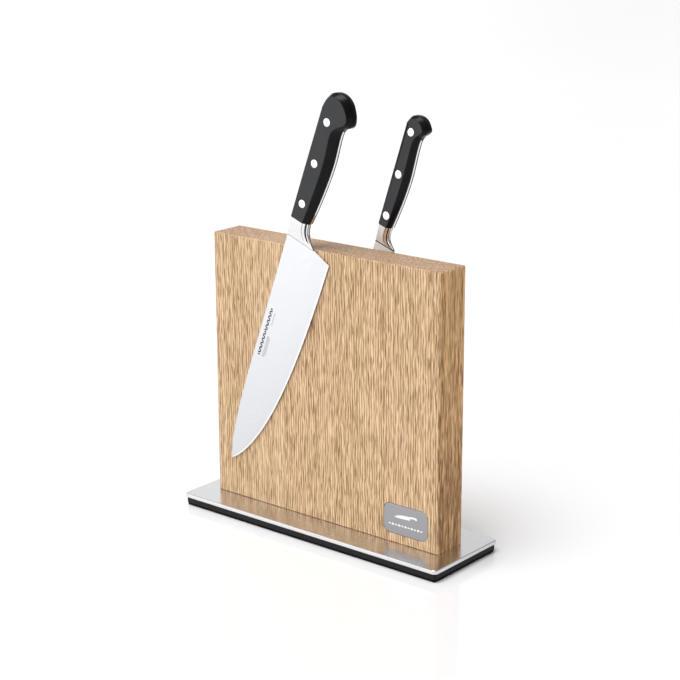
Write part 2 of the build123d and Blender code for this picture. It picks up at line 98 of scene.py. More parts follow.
# ------------------------------------------------------------------ shader nodes
class NodeBench:
    """Adds and wires the shader nodes of one material around a Principled surface."""

    def __init__(self, name: str) -> None:
        """Start an empty material.

        Args:
            name: the material's name.
        """
        self.material = bpy.data.materials.new(name)
        self.material.use_nodes = True
        self.tree = self.material.node_tree
        self.tree.nodes.clear()
        output = self.tree.nodes.new("ShaderNodeOutputMaterial")
        self.surface = self.tree.nodes.new("ShaderNodeBsdfPrincipled")
        self.tree.links.new(self.surface.outputs["BSDF"], output.inputs["Surface"])

    def give(self, socket: Socket, value: Value) -> None:
        """Link a socket to an input, or set it as a plain value.

        Args:
            socket: the input.
            value: what it gets.
        """
        if isinstance(value, bpy.types.NodeSocket):
            self.tree.links.new(value, socket)
        else:
            socket.default_value = value

    def add(self, kind: str, inputs: dict, **settings: object) -> bpy.types.Node:
        """Add a node.

        Args:
            kind: the node's type name.
            inputs: its input sockets, by name or index, as values or sockets.
            settings: properties of the node itself.

        Returns:
            The new node.
        """
        node = self.tree.nodes.new(kind)
        for key, value in settings.items():
            setattr(node, key, value)
        for key, value in inputs.items():
            self.give(node.inputs[key], value)
        return node

    def finish(self, **inputs: Value) -> bpy.types.Material:
        """Set the Principled surface's sockets.

        Args:
            inputs: values or sockets, by the input's name with underscores for spaces.

        Returns:
            The finished material.
        """
        for key, value in inputs.items():
            self.give(self.surface.inputs[key.replace("_", " ")], value)
        return self.material

    def place(self, scale: Sequence[float], turn: Sequence[float] = (0, 0, 0)) -> Socket:
        """Object coordinates, turned and then stretched.

        Args:
            scale: the stretch along each axis.
            turn: the turn about each axis, in radians.

        Returns:
            The coordinates' socket.
        """
        start = self.tree.nodes.new("ShaderNodeTexCoord").outputs["Object"]
        turned = self.add("ShaderNodeMapping", {"Vector": start, "Rotation": turn}, vector_type="POINT")
        return self.add("ShaderNodeMapping", {"Vector": turned.outputs[0], "Scale": scale}).outputs[0]

    def noise(self, vector: Socket, detail: float = 2.0, roughness: float = 0.5) -> Socket:
        """Fractal noise from 0 to 1."""
        inputs = {"Vector": vector, "Scale": 1.0, "Detail": detail, "Roughness": roughness}
        return self.add("ShaderNodeTexNoise", inputs).outputs["Fac"]

    def maths(self, operation: str, a: Value, b: Value = 0.0) -> Socket:
        """One arithmetic step."""
        return self.add("ShaderNodeMath", {0: a, 1: b}, operation=operation).outputs[0]

    def spread(self, value: Socket, low: float, high: float, to: Point = (0.0, 1.0)) -> Socket:
        """Map a range of a value smoothly onto another range, held at its ends."""
        inputs = {"Value": value, "From Min": low, "From Max": high, "To Min": to[0], "To Max": to[1]}
        return self.add("ShaderNodeMapRange", inputs, interpolation_type="SMOOTHSTEP").outputs["Result"]

    def mix(self, factor: Value, a: Value, b: Value, mode: str = "MIX") -> Socket:
        """Mix two colours.

        Args:
            factor: the second colour's share.
            a: the first colour.
            b: the second colour.
            mode: how they blend.

        Returns:
            The mixed colour's socket.
        """
        node = self.add("ShaderNodeMix", {0: factor}, data_type="RGBA", blend_type=mode)
        for socket, value in ((node.inputs[6], a), (node.inputs[7], b)):
            self.give(socket, (*value, 1.0) if isinstance(value, tuple) else value)
        return node.outputs[2]

    def bump(self, height: Socket, strength: float, depth: float) -> Socket:
        """Turn a height into a surface normal."""
        inputs = {"Height": height, "Strength": strength, "Distance": depth}
        return self.add("ShaderNodeBump", inputs).outputs["Normal"]


@dataclass(frozen=True)
class Finish:
    """A surface finish that can make its own material."""

    name: str

    def material(self) -> bpy.types.Material:
        """Build the material. Each kind of finish has its own."""
        raise NotImplementedError


@dataclass(frozen=True)
class OiledOak(Finish):
    """Oiled oak with upright grain: close wandering lines, short fibres, open pores and soft patches of tone.

    A stretch is how often a pattern repeats in a metre, across, deep and up. Lengths are metres.
    """

    light: Colour = (0.79, 0.575, 0.365)
    dark: Colour = (0.44, 0.275, 0.145)
    pore: Colour = (0.20, 0.095, 0.03)
    side_tint: Colour = (1.02, 0.88, 0.68)
    end_tint: Colour = (0.80, 0.77, 0.82)
    hair_tones: tuple[Colour, Colour] = ((1.14, 1.14, 1.15), (0.85, 0.83, 0.80))
    patch_tones: tuple[Colour, Colour] = ((1.01, 0.99, 0.995), (0.995, 1.0, 0.975))
    ring_tones: tuple[Colour, Colour] = ((1.015, 1.015, 1.02), (0.98, 0.975, 0.965))
    coarse_tones: tuple[Colour, Colour] = ((1.22, 1.22, 1.22), (0.74, 0.70, 0.64))
    lean: float = 0.012
    sways: tuple[tuple[Triple, float], ...] = (((9, 9, 3), 0.006), ((60, 60, 20), 0.0005))
    fibre_stretch: Triple = (2300, 2300, 66)
    hair_stretch: Triple = (2600, 2600, 26)
    pore_stretch: Triple = (1900, 1900, 82)
    wobble_stretch: Triple = (420, 420, 62)
    patch_stretch: Triple = (46, 46, 9)
    coarse_stretch: Triple = (420, 420, 34)
    line_pitch: float = 0.0026
    line_wobble: float = 10.0
    pith: Point = (0.03, 0.14)
    rings_per_metre: float = 190.0
    streak_at: float = -0.062
    streak_half: float = 0.016
    streak_share: float = 0.3
    pore_share: float = 0.72

    def material(self) -> bpy.types.Material:
        """Build the oak: fibres, pores and patches drive its colour, its gloss and a fine bump.

        Returns:
            The material.
        """
        bench = NodeBench(self.name)
        raw = bench.tree.nodes.new("ShaderNodeTexCoord").outputs["Object"]
        across, deep, up = bench.add("ShaderNodeSeparateXYZ", {0: raw}).outputs
        bent = bench.maths("ADD", across, bench.maths("MULTIPLY", up, self.lean))
        for stretch, reach in self.sways:
            wander = bench.maths("SUBTRACT", bench.noise(bench.place(stretch), 2.0), 0.5)
            bent = bench.maths("ADD", bent, bench.maths("MULTIPLY", wander, reach))
        grained = bench.add("ShaderNodeCombineXYZ", {0: bent, 1: deep, 2: up}).outputs[0]

        line = self._lines(bench, bent, grained)
        ring = self._rings(bench, bent, deep)
        fibre = bench.maths("MULTIPLY", self._fibres(bench, grained, self.fibre_stretch, 0.0), 0.4)
        fibre = bench.maths("ADD", bench.maths("ADD", fibre, 0.3), bench.maths("MULTIPLY", line, 0.1))
        pores = self._fibres(bench, grained, self.pore_stretch, 0.0)
        for pattern, pull in ((line, 0.06), (ring, 0.07)):
            pores = bench.maths("ADD", pores, bench.maths("MULTIPLY", pattern, pull))
        open_pore = bench.spread(pores, 0.62, 0.74)

        colour = self._broad_face(bench, grained, fibre, ring)
        streak = bench.maths("ABSOLUTE", bench.maths("SUBTRACT", bent, self.streak_at))
        fade = (self.streak_half * 1.5, self.streak_half * 0.5)
        colour = bench.mix(bench.spread(streak, *fade, (0.0, self.streak_share)), colour, self.light)
        colour = bench.mix(bench.maths("MULTIPLY", open_pore, self.pore_share), colour, self.pore)
        colour = self._narrow_faces(bench, grained, colour)

        height = bench.maths("SUBTRACT", bench.maths("MULTIPLY", fibre, 0.4), open_pore)
        return bench.finish(
            Base_Color=colour,
            Roughness=bench.spread(open_pore, 0.0, 1.0, (0.50, 0.75)),
            Normal=bench.bump(height, 0.4, 0.0004),
            Specular_IOR_Level=0.28,
        )

    def _broad_face(self, bench: NodeBench, grained: Socket, fibre: Socket, ring: Socket) -> Socket:
        """The colour of the two broad faces, before streak and pores.

        Args:
            bench: the material's nodes.
            grained: coordinates that follow the grain.
            fibre: the fibres, from 0 to 1.
            ring: the growth rings, from 0 to 1.

        Returns:
            The colour's socket.
        """
        hair = bench.spread(self._fibres(bench, grained, self.hair_stretch, 0.0), 0.3, 0.7)
        patch = bench.spread(self._fibres(bench, grained, self.patch_stretch, 2.0), 0.35, 0.65)
        colour = bench.mix(bench.spread(fibre, 0.40, 0.60), self.light, self.dark)
        for share, tones in ((hair, self.hair_tones), (patch, self.patch_tones), (ring, self.ring_tones)):
            colour = bench.mix(1.0, colour, bench.mix(share, *tones), "MULTIPLY")
        return colour

    def _narrow_faces(self, bench: NodeBench, grained: Socket, colour: Socket) -> Socket:
        """Tint the end grain, and tint and coarsen the narrow sides.

        Args:
            bench: the material's nodes.
            grained: coordinates that follow the grain.
            colour: the broad faces' colour.

        Returns:
            The colour's socket.
        """
        facing = bench.tree.nodes.new("ShaderNodeNewGeometry").outputs["Normal"]
        side_on, _, end_on = bench.add("ShaderNodeSeparateXYZ", {0: facing}).outputs
        ended = bench.mix(1.0, colour, self.end_tint, "MULTIPLY")
        colour = bench.mix(bench.spread(bench.maths("ABSOLUTE", end_on), 0.6, 0.9), colour, ended)
        coarse = bench.spread(self._fibres(bench, grained, self.coarse_stretch, 2.0), 0.35, 0.65)
        sided = bench.mix(1.0, colour, self.side_tint, "MULTIPLY")
        sided = bench.mix(1.0, sided, bench.mix(coarse, *self.coarse_tones), "MULTIPLY")
        return bench.mix(bench.spread(bench.maths("ABSOLUTE", side_on), 0.6, 0.9), colour, sided)

    def _fibres(self, bench: NodeBench, grained: Socket, stretch: Triple, detail: float) -> Socket:
        """Noise drawn out along the grain."""
        place = bench.add("ShaderNodeMapping", {"Vector": grained, "Scale": stretch}).outputs[0]
        return bench.noise(place, detail, 0.55)

    def _lines(self, bench: NodeBench, across: Socket, grained: Socket) -> Socket:
        """Close upright lines that wander and break.

        Args:
            bench: the material's nodes.
            across: the place across the grain.
            grained: coordinates that follow the grain.

        Returns:
            The lines' socket, from -1 to 1.
        """
        wobble = self._fibres(bench, grained, self.wobble_stretch, 1.0)
        wobble = bench.maths("MULTIPLY", wobble, self.line_wobble)
        turns = bench.maths("MULTIPLY", across, math.tau / self.line_pitch)
        return bench.maths("SINE", bench.maths("ADD", turns, wobble))

    def _rings(self, bench: NodeBench, across: Socket, deep: Socket) -> Socket:
        """Growth rings round a pith behind the board.

        Args:
            bench: the material's nodes.
            across: the place across the board.
            deep: the place through the board.

        Returns:
            The rings' socket, from 0 to 1.
        """
        squares = []
        for axis, pith in zip((across, deep), self.pith):
            off = bench.maths("SUBTRACT", axis, pith)
            squares.append(bench.maths("MULTIPLY", off, off))
        radius = bench.maths("SQRT", bench.maths("ADD", *squares))
        along = bench.maths("MULTIPLY", radius, self.rings_per_metre)
        inputs = {"W": along, "Scale": 1.0, "Detail": 2.0, "Roughness": 0.6}
        noise = bench.add("ShaderNodeTexNoise", inputs, noise_dimensions="1D").outputs["Fac"]
        return bench.spread(noise, 0.35, 0.65)


@dataclass(frozen=True)
class PlainWood(Finish):
    """Raw turned wood, for the hidden dowels."""

    colour: Colour = (0.62, 0.44, 0.27)

    def material(self) -> bpy.types.Material:
        """Build pale wood with fibres along Y.

        Returns:
            The material.
        """
        bench = NodeBench(self.name)
        fibre = bench.noise(bench.place((1400, 90, 1400)), 3.0, 0.6)
        colour = bench.mix(bench.spread(fibre, 0.3, 0.7), self.colour, (0.48, 0.32, 0.18))
        return bench.finish(Base_Color=colour, Roughness=0.7, Normal=bench.bump(fibre, 0.3, 0.0003))


@dataclass(frozen=True)
class BrushedSteel(Finish):
    """Stainless steel brushed along X, with faint cloudiness and hairline scratches.

    Turn swings the brushing about Y, in degrees. The painted shade at the bottom is a low and a high level in metres
    and the share of the colour that is left below the low one; it darkens the steel towards the bottom.
    """

    colour: Colour = (0.72, 0.72, 0.73)
    fineness: float = 2600.0
    drawn_out: float = 0.012
    smooth: float = 0.24
    rough: float = 0.36
    relief: float = 0.12
    turn: float = 0.0
    contrast: float = 0.06
    metallic: float = 1.0
    bottom_painted_shade: Optional[Triple] = None

    def material(self) -> bpy.types.Material:
        """Build the steel: streaks drive its gloss, its tone and a shallow bump.

        Returns:
            The material.
        """
        bench = NodeBench(self.name)
        stretch = (self.fineness * self.drawn_out, self.fineness, self.fineness)
        vector = bench.place(stretch, (0.0, math.radians(self.turn), 0.0))
        streak = bench.noise(vector, 3.0, 0.65)
        cloud = bench.noise(bench.place((14, 14, 14)), 2.0)
        tone = bench.mix(bench.spread(streak, 0.25, 0.75), (1 - self.contrast,) * 3, (1 + self.contrast,) * 3)
        colour = bench.mix(1.0, self.colour, tone, "MULTIPLY")
        # Painted shade: the colour dims towards the bottom, standing in for the darker floor that the blade reflects
        # near the base.
        if self.bottom_painted_shade:
            low, high, share = self.bottom_painted_shade
            raw = bench.tree.nodes.new("ShaderNodeTexCoord").outputs["Object"]
            up = bench.add("ShaderNodeSeparateXYZ", {0: raw}).outputs[2]
            painted_shade_colour = bench.mix(1.0, colour, (share,) * 3, "MULTIPLY")
            colour = bench.mix(bench.spread(up, low, high), painted_shade_colour, colour)
        streaked = bench.spread(streak, 0.2, 0.8, (self.smooth, self.rough))
        gloss = bench.maths("ADD", streaked, bench.spread(cloud, 0.3, 0.7, (-0.02, 0.03)))
        normal = bench.bump(streak, self.relief, 0.00008)
        return bench.finish(Base_Color=colour, Metallic=self.metallic, Roughness=gloss, Normal=normal)


@dataclass(frozen=True)
class PolishedSteel(Finish):
    """Bright polished metal with very light handling marks."""

    colour: Colour = (0.90, 0.90, 0.91)
    roughness: float = 0.12
    metallic: float = 1.0

    def material(self) -> bpy.types.Material:
        """Build the metal: fine marks in its gloss and a trace of bump.

        Returns:
            The material.
        """
        bench = NodeBench(self.name)
        marks = bench.noise(bench.place((500, 500, 500)), 4.0, 0.6)
        gloss = bench.spread(marks, 0.35, 0.75, (self.roughness * 0.75, self.roughness * 1.6))
        tone = bench.mix(bench.spread(marks, 0.3, 0.8), self.colour, tuple(c * 0.93 for c in self.colour))
        normal = bench.bump(marks, 0.05, 0.00005)
        return bench.finish(Base_Color=tone, Metallic=self.metallic, Roughness=gloss, Normal=normal)


@dataclass(frozen=True)
class Moulded(Finish):
    """A moulded or rubbery surface with a fine even texture."""

    colour: Colour = (0.02, 0.02, 0.022)
    roughness: float = 0.5
    grain_size: float = 0.0006
    relief: float = 0.25
    specular: float = 0.5

    def material(self) -> bpy.types.Material:
        """Build the surface: a grain in bump and gloss, and soft scuffs in its tone.

        Returns:
            The material.
        """
        bench = NodeBench(self.name)
        scale = 1.0 / self.grain_size
        grain = bench.noise(bench.place((scale, scale, scale)), 2.0, 0.5)
        scuff = bench.noise(bench.place((35, 35, 35)), 4.0, 0.6)
        lighter = tuple(c * 1.35 + 0.002 for c in self.colour)
        colour = bench.mix(bench.spread(scuff, 0.45, 0.75), self.colour, lighter)
        grained = bench.spread(grain, 0.3, 0.7, (self.roughness - 0.05, self.roughness + 0.07))
        gloss = bench.maths("ADD", grained, bench.spread(scuff, 0.4, 0.7, (-0.02, 0.04)))
        return bench.finish(
            Base_Color=colour,
            Roughness=gloss,
            Normal=bench.bump(grain, self.relief, 0.00006),
            Specular_IOR_Level=self.specular,
        )


@dataclass(frozen=True)
class EtchedMark(Finish):
    """The frosted tone of a mark etched into steel."""

    colour: Colour = (0.030, 0.032, 0.036)

    def material(self) -> bpy.types.Material:
        """Build a frosted surface, a little uneven.

        Returns:
            The material.
        """
        bench = NodeBench(self.name)
        frost = bench.noise(bench.place((3000, 3000, 3000)), 2.0)
        colour = bench.mix(frost, self.colour, tuple(c * 1.2 for c in self.colour))
        normal = bench.bump(frost, 0.2, 0.00005)
        return bench.finish(Base_Color=colour, Roughness=0.6, Specular_IOR_Level=0.2, Normal=normal)


class Finishes:
    """Every finish on the rack, made once and looked up by name."""

    def __init__(self) -> None:
        """Build all materials."""
        listed: list[Finish] = [
            OiledOak("oak"),
            PlainWood("dowel_beech"),
            BrushedSteel("base_steel", colour=(0.74, 0.74, 0.755), smooth=0.14, rough=0.28, relief=0.22),
            BrushedSteel("badge_steel", colour=(0.36, 0.36, 0.375), smooth=0.3, rough=0.42, relief=0.2),
            # The chef's flank carries painted shade that darkens it towards the bottom.
            BrushedSteel(
                "blade_flank", colour=(0.765, 0.775, 0.80), fineness=3200.0, smooth=0.20, rough=0.26, relief=0.0,
                turn=20.7, contrast=0.012, bottom_painted_shade=(0.03, 0.27, 0.88),
            ),
            BrushedSteel(
                "small_flank", colour=(0.84, 0.845, 0.86), fineness=3200.0, smooth=0.30, rough=0.36, relief=0.0,
                turn=18.9, contrast=0.012, metallic=0.3,
            ),
            PolishedSteel("blade_edge", colour=(0.97, 0.97, 0.98), roughness=0.16),
            PolishedSteel("bolster_steel", colour=(0.90, 0.90, 0.91), roughness=0.10),
            PolishedSteel("bolster_satin", colour=(0.90, 0.90, 0.91), roughness=0.38, metallic=0.25),
            # Painted dark reflection, for strips of the polished bolster.
            PolishedSteel("bolster_shade", colour=(0.045, 0.043, 0.042), roughness=0.16),
            # Painted reflection of the oak top, in brown, for strips of the bolster.
            PolishedSteel("bolster_warm", colour=(0.30, 0.25, 0.20), roughness=0.2),
            # Painted shade where the bolster rises from the blade: grey on the chef's knife, near black on the
            # utility knife.
            PolishedSteel("joint_line", colour=(0.34, 0.35, 0.38), roughness=0.35),
            PolishedSteel("joint_gap", colour=(0.03, 0.03, 0.03), roughness=0.4),
            PolishedSteel("rivet_steel", colour=(0.97, 0.97, 0.97), roughness=0.14),
            PolishedSteel("zinc_steel", colour=(0.62, 0.63, 0.66), roughness=0.32),
            PolishedSteel("keeper_steel", colour=(0.40, 0.41, 0.43), roughness=0.40),
            PolishedSteel("magnet_nickel", colour=(0.76, 0.74, 0.71), roughness=0.2),
            PolishedSteel("insert_brass", colour=(0.80, 0.60, 0.28), roughness=0.28),
            Moulded("black_tray", colour=(0.004, 0.004, 0.005), roughness=0.5, specular=0.26),
            Moulded("anti_slip_rubber", colour=(0.004, 0.004, 0.004), roughness=0.75, relief=0.4, specular=0.12),
            Moulded("badge_glue", colour=(0.10, 0.10, 0.10), roughness=0.8),
            Moulded("handle_flat", colour=(0.012, 0.0135, 0.017), roughness=0.40, relief=0.12, specular=0.46),
            # Painted shade: the scales' bevel is a darker, less glossy copy of the plastic of their flat.
            Moulded("handle_bevel", colour=(0.002, 0.002, 0.0022), roughness=0.27, relief=0.05, specular=0.16),
            EtchedMark("etched_mark"),
            EtchedMark("pale_mark", colour=(0.80, 0.80, 0.81)),
        ]
        self._made = {finish.name: finish.material() for finish in listed}

    def __getitem__(self, name: str) -> bpy.types.Material:
        """The material of a finish, by name."""
        return self._made[name]


# ------------------------------------------------------------------ meshes
class Workshop:
    """Turns loops of points into finished, placed objects."""

    def __init__(self, finishes: Finishes) -> None:
        """Keep the finishes that pieces are dressed in.

        Args:
            finishes: all materials of the rack.
        """
        self.finishes = finishes

    def piece(self, name: str, mesh: bmesh.types.BMesh, *finishes: str) -> bpy.types.Object:
        """Close a mesh into a linked object with outward normals.

        Args:
            name: the piece's name.
            mesh: its shape, in metres, in the rack's frame.
            finishes: its finishes, in the order of the faces' material indices.

        Returns:
            The new object, at the origin.
        """
        bmesh.ops.remove_doubles(mesh, verts=mesh.verts, dist=1e-7)
        bmesh.ops.recalc_face_normals(mesh, faces=mesh.faces)
        data = bpy.data.meshes.new(name)
        mesh.to_mesh(data)
        mesh.free()
        thing = bpy.data.objects.new(name, data)
        bpy.context.scene.collection.objects.link(thing)
        for finish in finishes:
            data.materials.append(self.finishes[finish])
        return thing

    def dress(self, thing: bpy.types.Object, *finishes: str) -> None:
        """Give an object new finishes in place of its old ones.

        Args:
            thing: the object.
            finishes: its new finishes, by name.
        """
        thing.data.materials.clear()
        for finish in finishes:
            thing.data.materials.append(self.finishes[finish])

    def soften(self, thing: bpy.types.Object, degrees: float = 32.0) -> None:
        """Shade an object smooth, with creases only where it turns sharply."""
        thing.data.polygons.foreach_set("use_smooth", [True] * len(thing.data.polygons))
        thing.data.set_sharp_from_angle(angle=math.radians(degrees))

    def settle(self, thing: bpy.types.Object) -> bpy.types.Object:
        """Bake an object's modifiers into a plain mesh.

        Args:
            thing: the object.

        Returns:
            The same object, with no modifiers.
        """
        bpy.context.view_layer.update()
        evaluated = thing.evaluated_get(bpy.context.evaluated_depsgraph_get())
        baked = bpy.data.meshes.new_from_object(evaluated)
        thing.modifiers.clear()
        old = thing.data
        thing.data = baked
        bpy.data.meshes.remove(old)
        baked.name = thing.name
        return thing

    def carve(self, thing: bpy.types.Object, tool: bpy.types.Object, operation: str) -> bpy.types.Object:
        """Cut an object with a tool, or join the two, and drop the tool.

        Args:
            thing: the object that is kept.
            tool: the object that is used up.
            operation: DIFFERENCE or UNION.

        Returns:
            The object that is kept.
        """
        cut = thing.modifiers.new("carve", "BOOLEAN")
        cut.object = tool
        cut.operation = operation
        cut.solver = "EXACT"
        self.settle(thing)
        spent = tool.data
        bpy.data.objects.remove(tool)
        bpy.data.meshes.remove(spent)
        return thing

    def refined(self, node: str, name: str, finish: str, width: float, segments: int = 3) -> bpy.types.Object:
        """Copy a CAD node as a piece with rounded edges.

        Args:
            node: the CAD node to copy and stand in for.
            name: the new piece's name.
            finish: its finish.
            width: how wide the rounding is, in millimetres.
            segments: how many strips the rounding has.

        Returns:
            The new piece.
        """
        mesh = bmesh.new()
        mesh.from_mesh(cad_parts[node].data)
        bmesh.ops.remove_doubles(mesh, verts=mesh.verts, dist=1e-6)
        bmesh.ops.dissolve_limit(mesh, angle_limit=math.radians(0.5), verts=mesh.verts, edges=mesh.edges)
        thing = self.piece(name, mesh, finish)
        round_over = thing.modifiers.new("round", "BEVEL")
        round_over.width = width * MM
        round_over.segments = segments
        round_over.limit_method = "ANGLE"
        round_over.angle_limit = math.radians(32)
        round_over.harden_normals = True
        self.settle(thing)
        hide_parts(node)
        return thing


def skin(rings: Sequence[Sequence[Vector]], indices: Optional[Sequence[int]] = None) -> bmesh.types.BMesh:
    """Join loops of points into a closed shell, with a cap on the first and last loop.

    Args:
        rings: loops with the same number of points each, in order.
        indices: the material index of each band between loops, and then of the last cap.

    Returns:
        The closed mesh.
    """
    mesh = bmesh.new()
    loops = [[mesh.verts.new(point) for point in ring] for ring in rings]
    count = len(loops[0])
    for band, (below, above) in enumerate(zip(loops, loops[1:])):
        for i in range(count):
            j = (i + 1) % count
            side = mesh.faces.new((below[i], below[j], above[j], above[i]))
            side.material_index = indices[band] if indices else 0
    mesh.faces.new(list(reversed(loops[0])))
    top = mesh.faces.new(loops[-1])
    top.material_index = indices[-1] if indices else 0
    return mesh


def rounded_rectangle(width: float, height: float, corner: float, steps: int = 10) -> list[Point]:
    """A rectangle's outline with round corners, counter-clockwise about the origin.

    Args:
        width: its size along the first axis.
        height: its size along the second axis.
        corner: the radius of its corners.
        steps: how many segments each corner has.

    Returns:
        The outline's points.
    """
    points = []
    for quarter, (sx, sy) in enumerate(((1, 1), (-1, 1), (-1, -1), (1, -1))):
        cx = sx * (width / 2 - corner)
        cy = sy * (height / 2 - corner)
        for step in range(steps + 1):
            angle = math.radians(90 * quarter + 90 * step / steps)
            points.append((cx + corner * math.cos(angle), cy + corner * math.sin(angle)))
    return points


def straight(start: Point, end: Point, steps: int) -> list[Point]:
    """Sample a straight line, leaving out its last point."""
    return [tuple(Vector(start).lerp(Vector(end), i / steps)) for i in range(steps)]


def beyond(start: Point, end: Point, share: float) -> Vector:
    """The point at a share of the way from one point to another, or past it where the share is over one."""
    a, b = Vector(start), Vector(end)
    return a.lerp(b, share) if share <= 1 else b + (b - a) * (share - 1)


def smooth_path(points: Sequence[Point], start: Point, end: Point, steps: int) -> list[Point]:
    """Sample a smooth curve through points, leaving out its last point.

    Args:
        points: where the curve passes.
        start: the direction in which it sets off.
        end: the direction in which it arrives.
        steps: samples between each two points.

    Returns:
        The sampled points.
    """
    knots = [Vector(point) for point in points]
    spans = [(b - a).length for a, b in zip(knots, knots[1:])]
    slopes = [Vector(start).normalized()]
    for i in range(1, len(knots) - 1):
        before = (knots[i] - knots[i - 1]) / spans[i - 1]
        after = (knots[i + 1] - knots[i]) / spans[i]
        slopes.append((before * spans[i] + after * spans[i - 1]) / (spans[i - 1] + spans[i]))
    slopes.append(Vector(end).normalized())
    sampled = []
    for i, span in enumerate(spans):
        for step in range(steps):
            t = step / steps
            a = (2 * t**3 - 3 * t**2 + 1) * knots[i] + (t**3 - 2 * t**2 + t) * span * slopes[i]
            b = (3 * t**2 - 2 * t**3) * knots[i + 1] + (t**3 - t**2) * span * slopes[i + 1]
            sampled.append(tuple(a + b))
    return sampled


def smooth_values(rows: Sequence[Sequence[float]], at: float) -> list[float]:
    """Read a table of stations between its rows, along a smooth curve through each column.

    Args:
        rows: stations in rising order, each with its place first.
        at: the place to read.

    Returns:
        The columns after the first, at that place.
    """
    last = len(rows) - 2
    i = max(0, min(last, sum(1 for row in rows[1:-1] if row[0] <= at)))
    span = rows[i + 1][0] - rows[i][0]
    t = (at - rows[i][0]) / span

    def slope(k: int, column: int) -> float:
        """The rate of change of a column at a station.

        Args:
            k: the station's number.
            column: the column's number.

        Returns:
            The rate.
        """
        low = max(k - 1, 0)
        high = min(k + 1, len(rows) - 1)
        return (rows[high][column] - rows[low][column]) / (rows[high][0] - rows[low][0])

    values = []
    for column in range(1, len(rows[0])):
        a = rows[i][column] * (2 * t**3 - 3 * t**2 + 1) + slope(i, column) * span * (t**3 - 2 * t**2 + t)
        b = rows[i + 1][column] * (3 * t**2 - 2 * t**3) + slope(i + 1, column) * span * (t**3 - t**2)
        values.append(a + b)
    return values


def lozenge(x: float, y: float, half_wide: float, half_tall: float) -> list[Point]:
    """A lozenge about a point."""
    return [(x - half_wide, y), (x, y - half_tall), (x + half_wide, y), (x, y + half_tall)]


def bar(x: float, y: float, half_wide: float, half_tall: float) -> list[Point]:
    """An upright rectangle about a point."""
    return [(x + sx * half_wide, y + sy * half_tall) for sx, sy in ((-1, -1), (1, -1), (1, 1), (-1, 1))]


def stamp(
    outlines: Sequence[Sequence[Point]], place: Callable[[Point, float], Vector], levels: Point
) -> bmesh.types.BMesh:
    """Turn flat outlines into thin closed prisms on a surface.

    Args:
        outlines: each shape's points in order.
        place: puts an outline's point at a height off the surface.
        levels: the heights of the raised and of the sunk face.

    Returns:
        All prisms in one mesh.
    """
    mesh = bmesh.new()
    for outline in outlines:
        raised, sunk = [[mesh.verts.new(place(point, level)) for point in outline] for level in levels]
        mesh.faces.new(raised)
        mesh.faces.new(list(reversed(sunk)))
        for i in range(len(outline)):
            j = (i + 1) % len(outline)
            mesh.faces.new((raised[i], sunk[i], sunk[j], raised[j]))
    return mesh


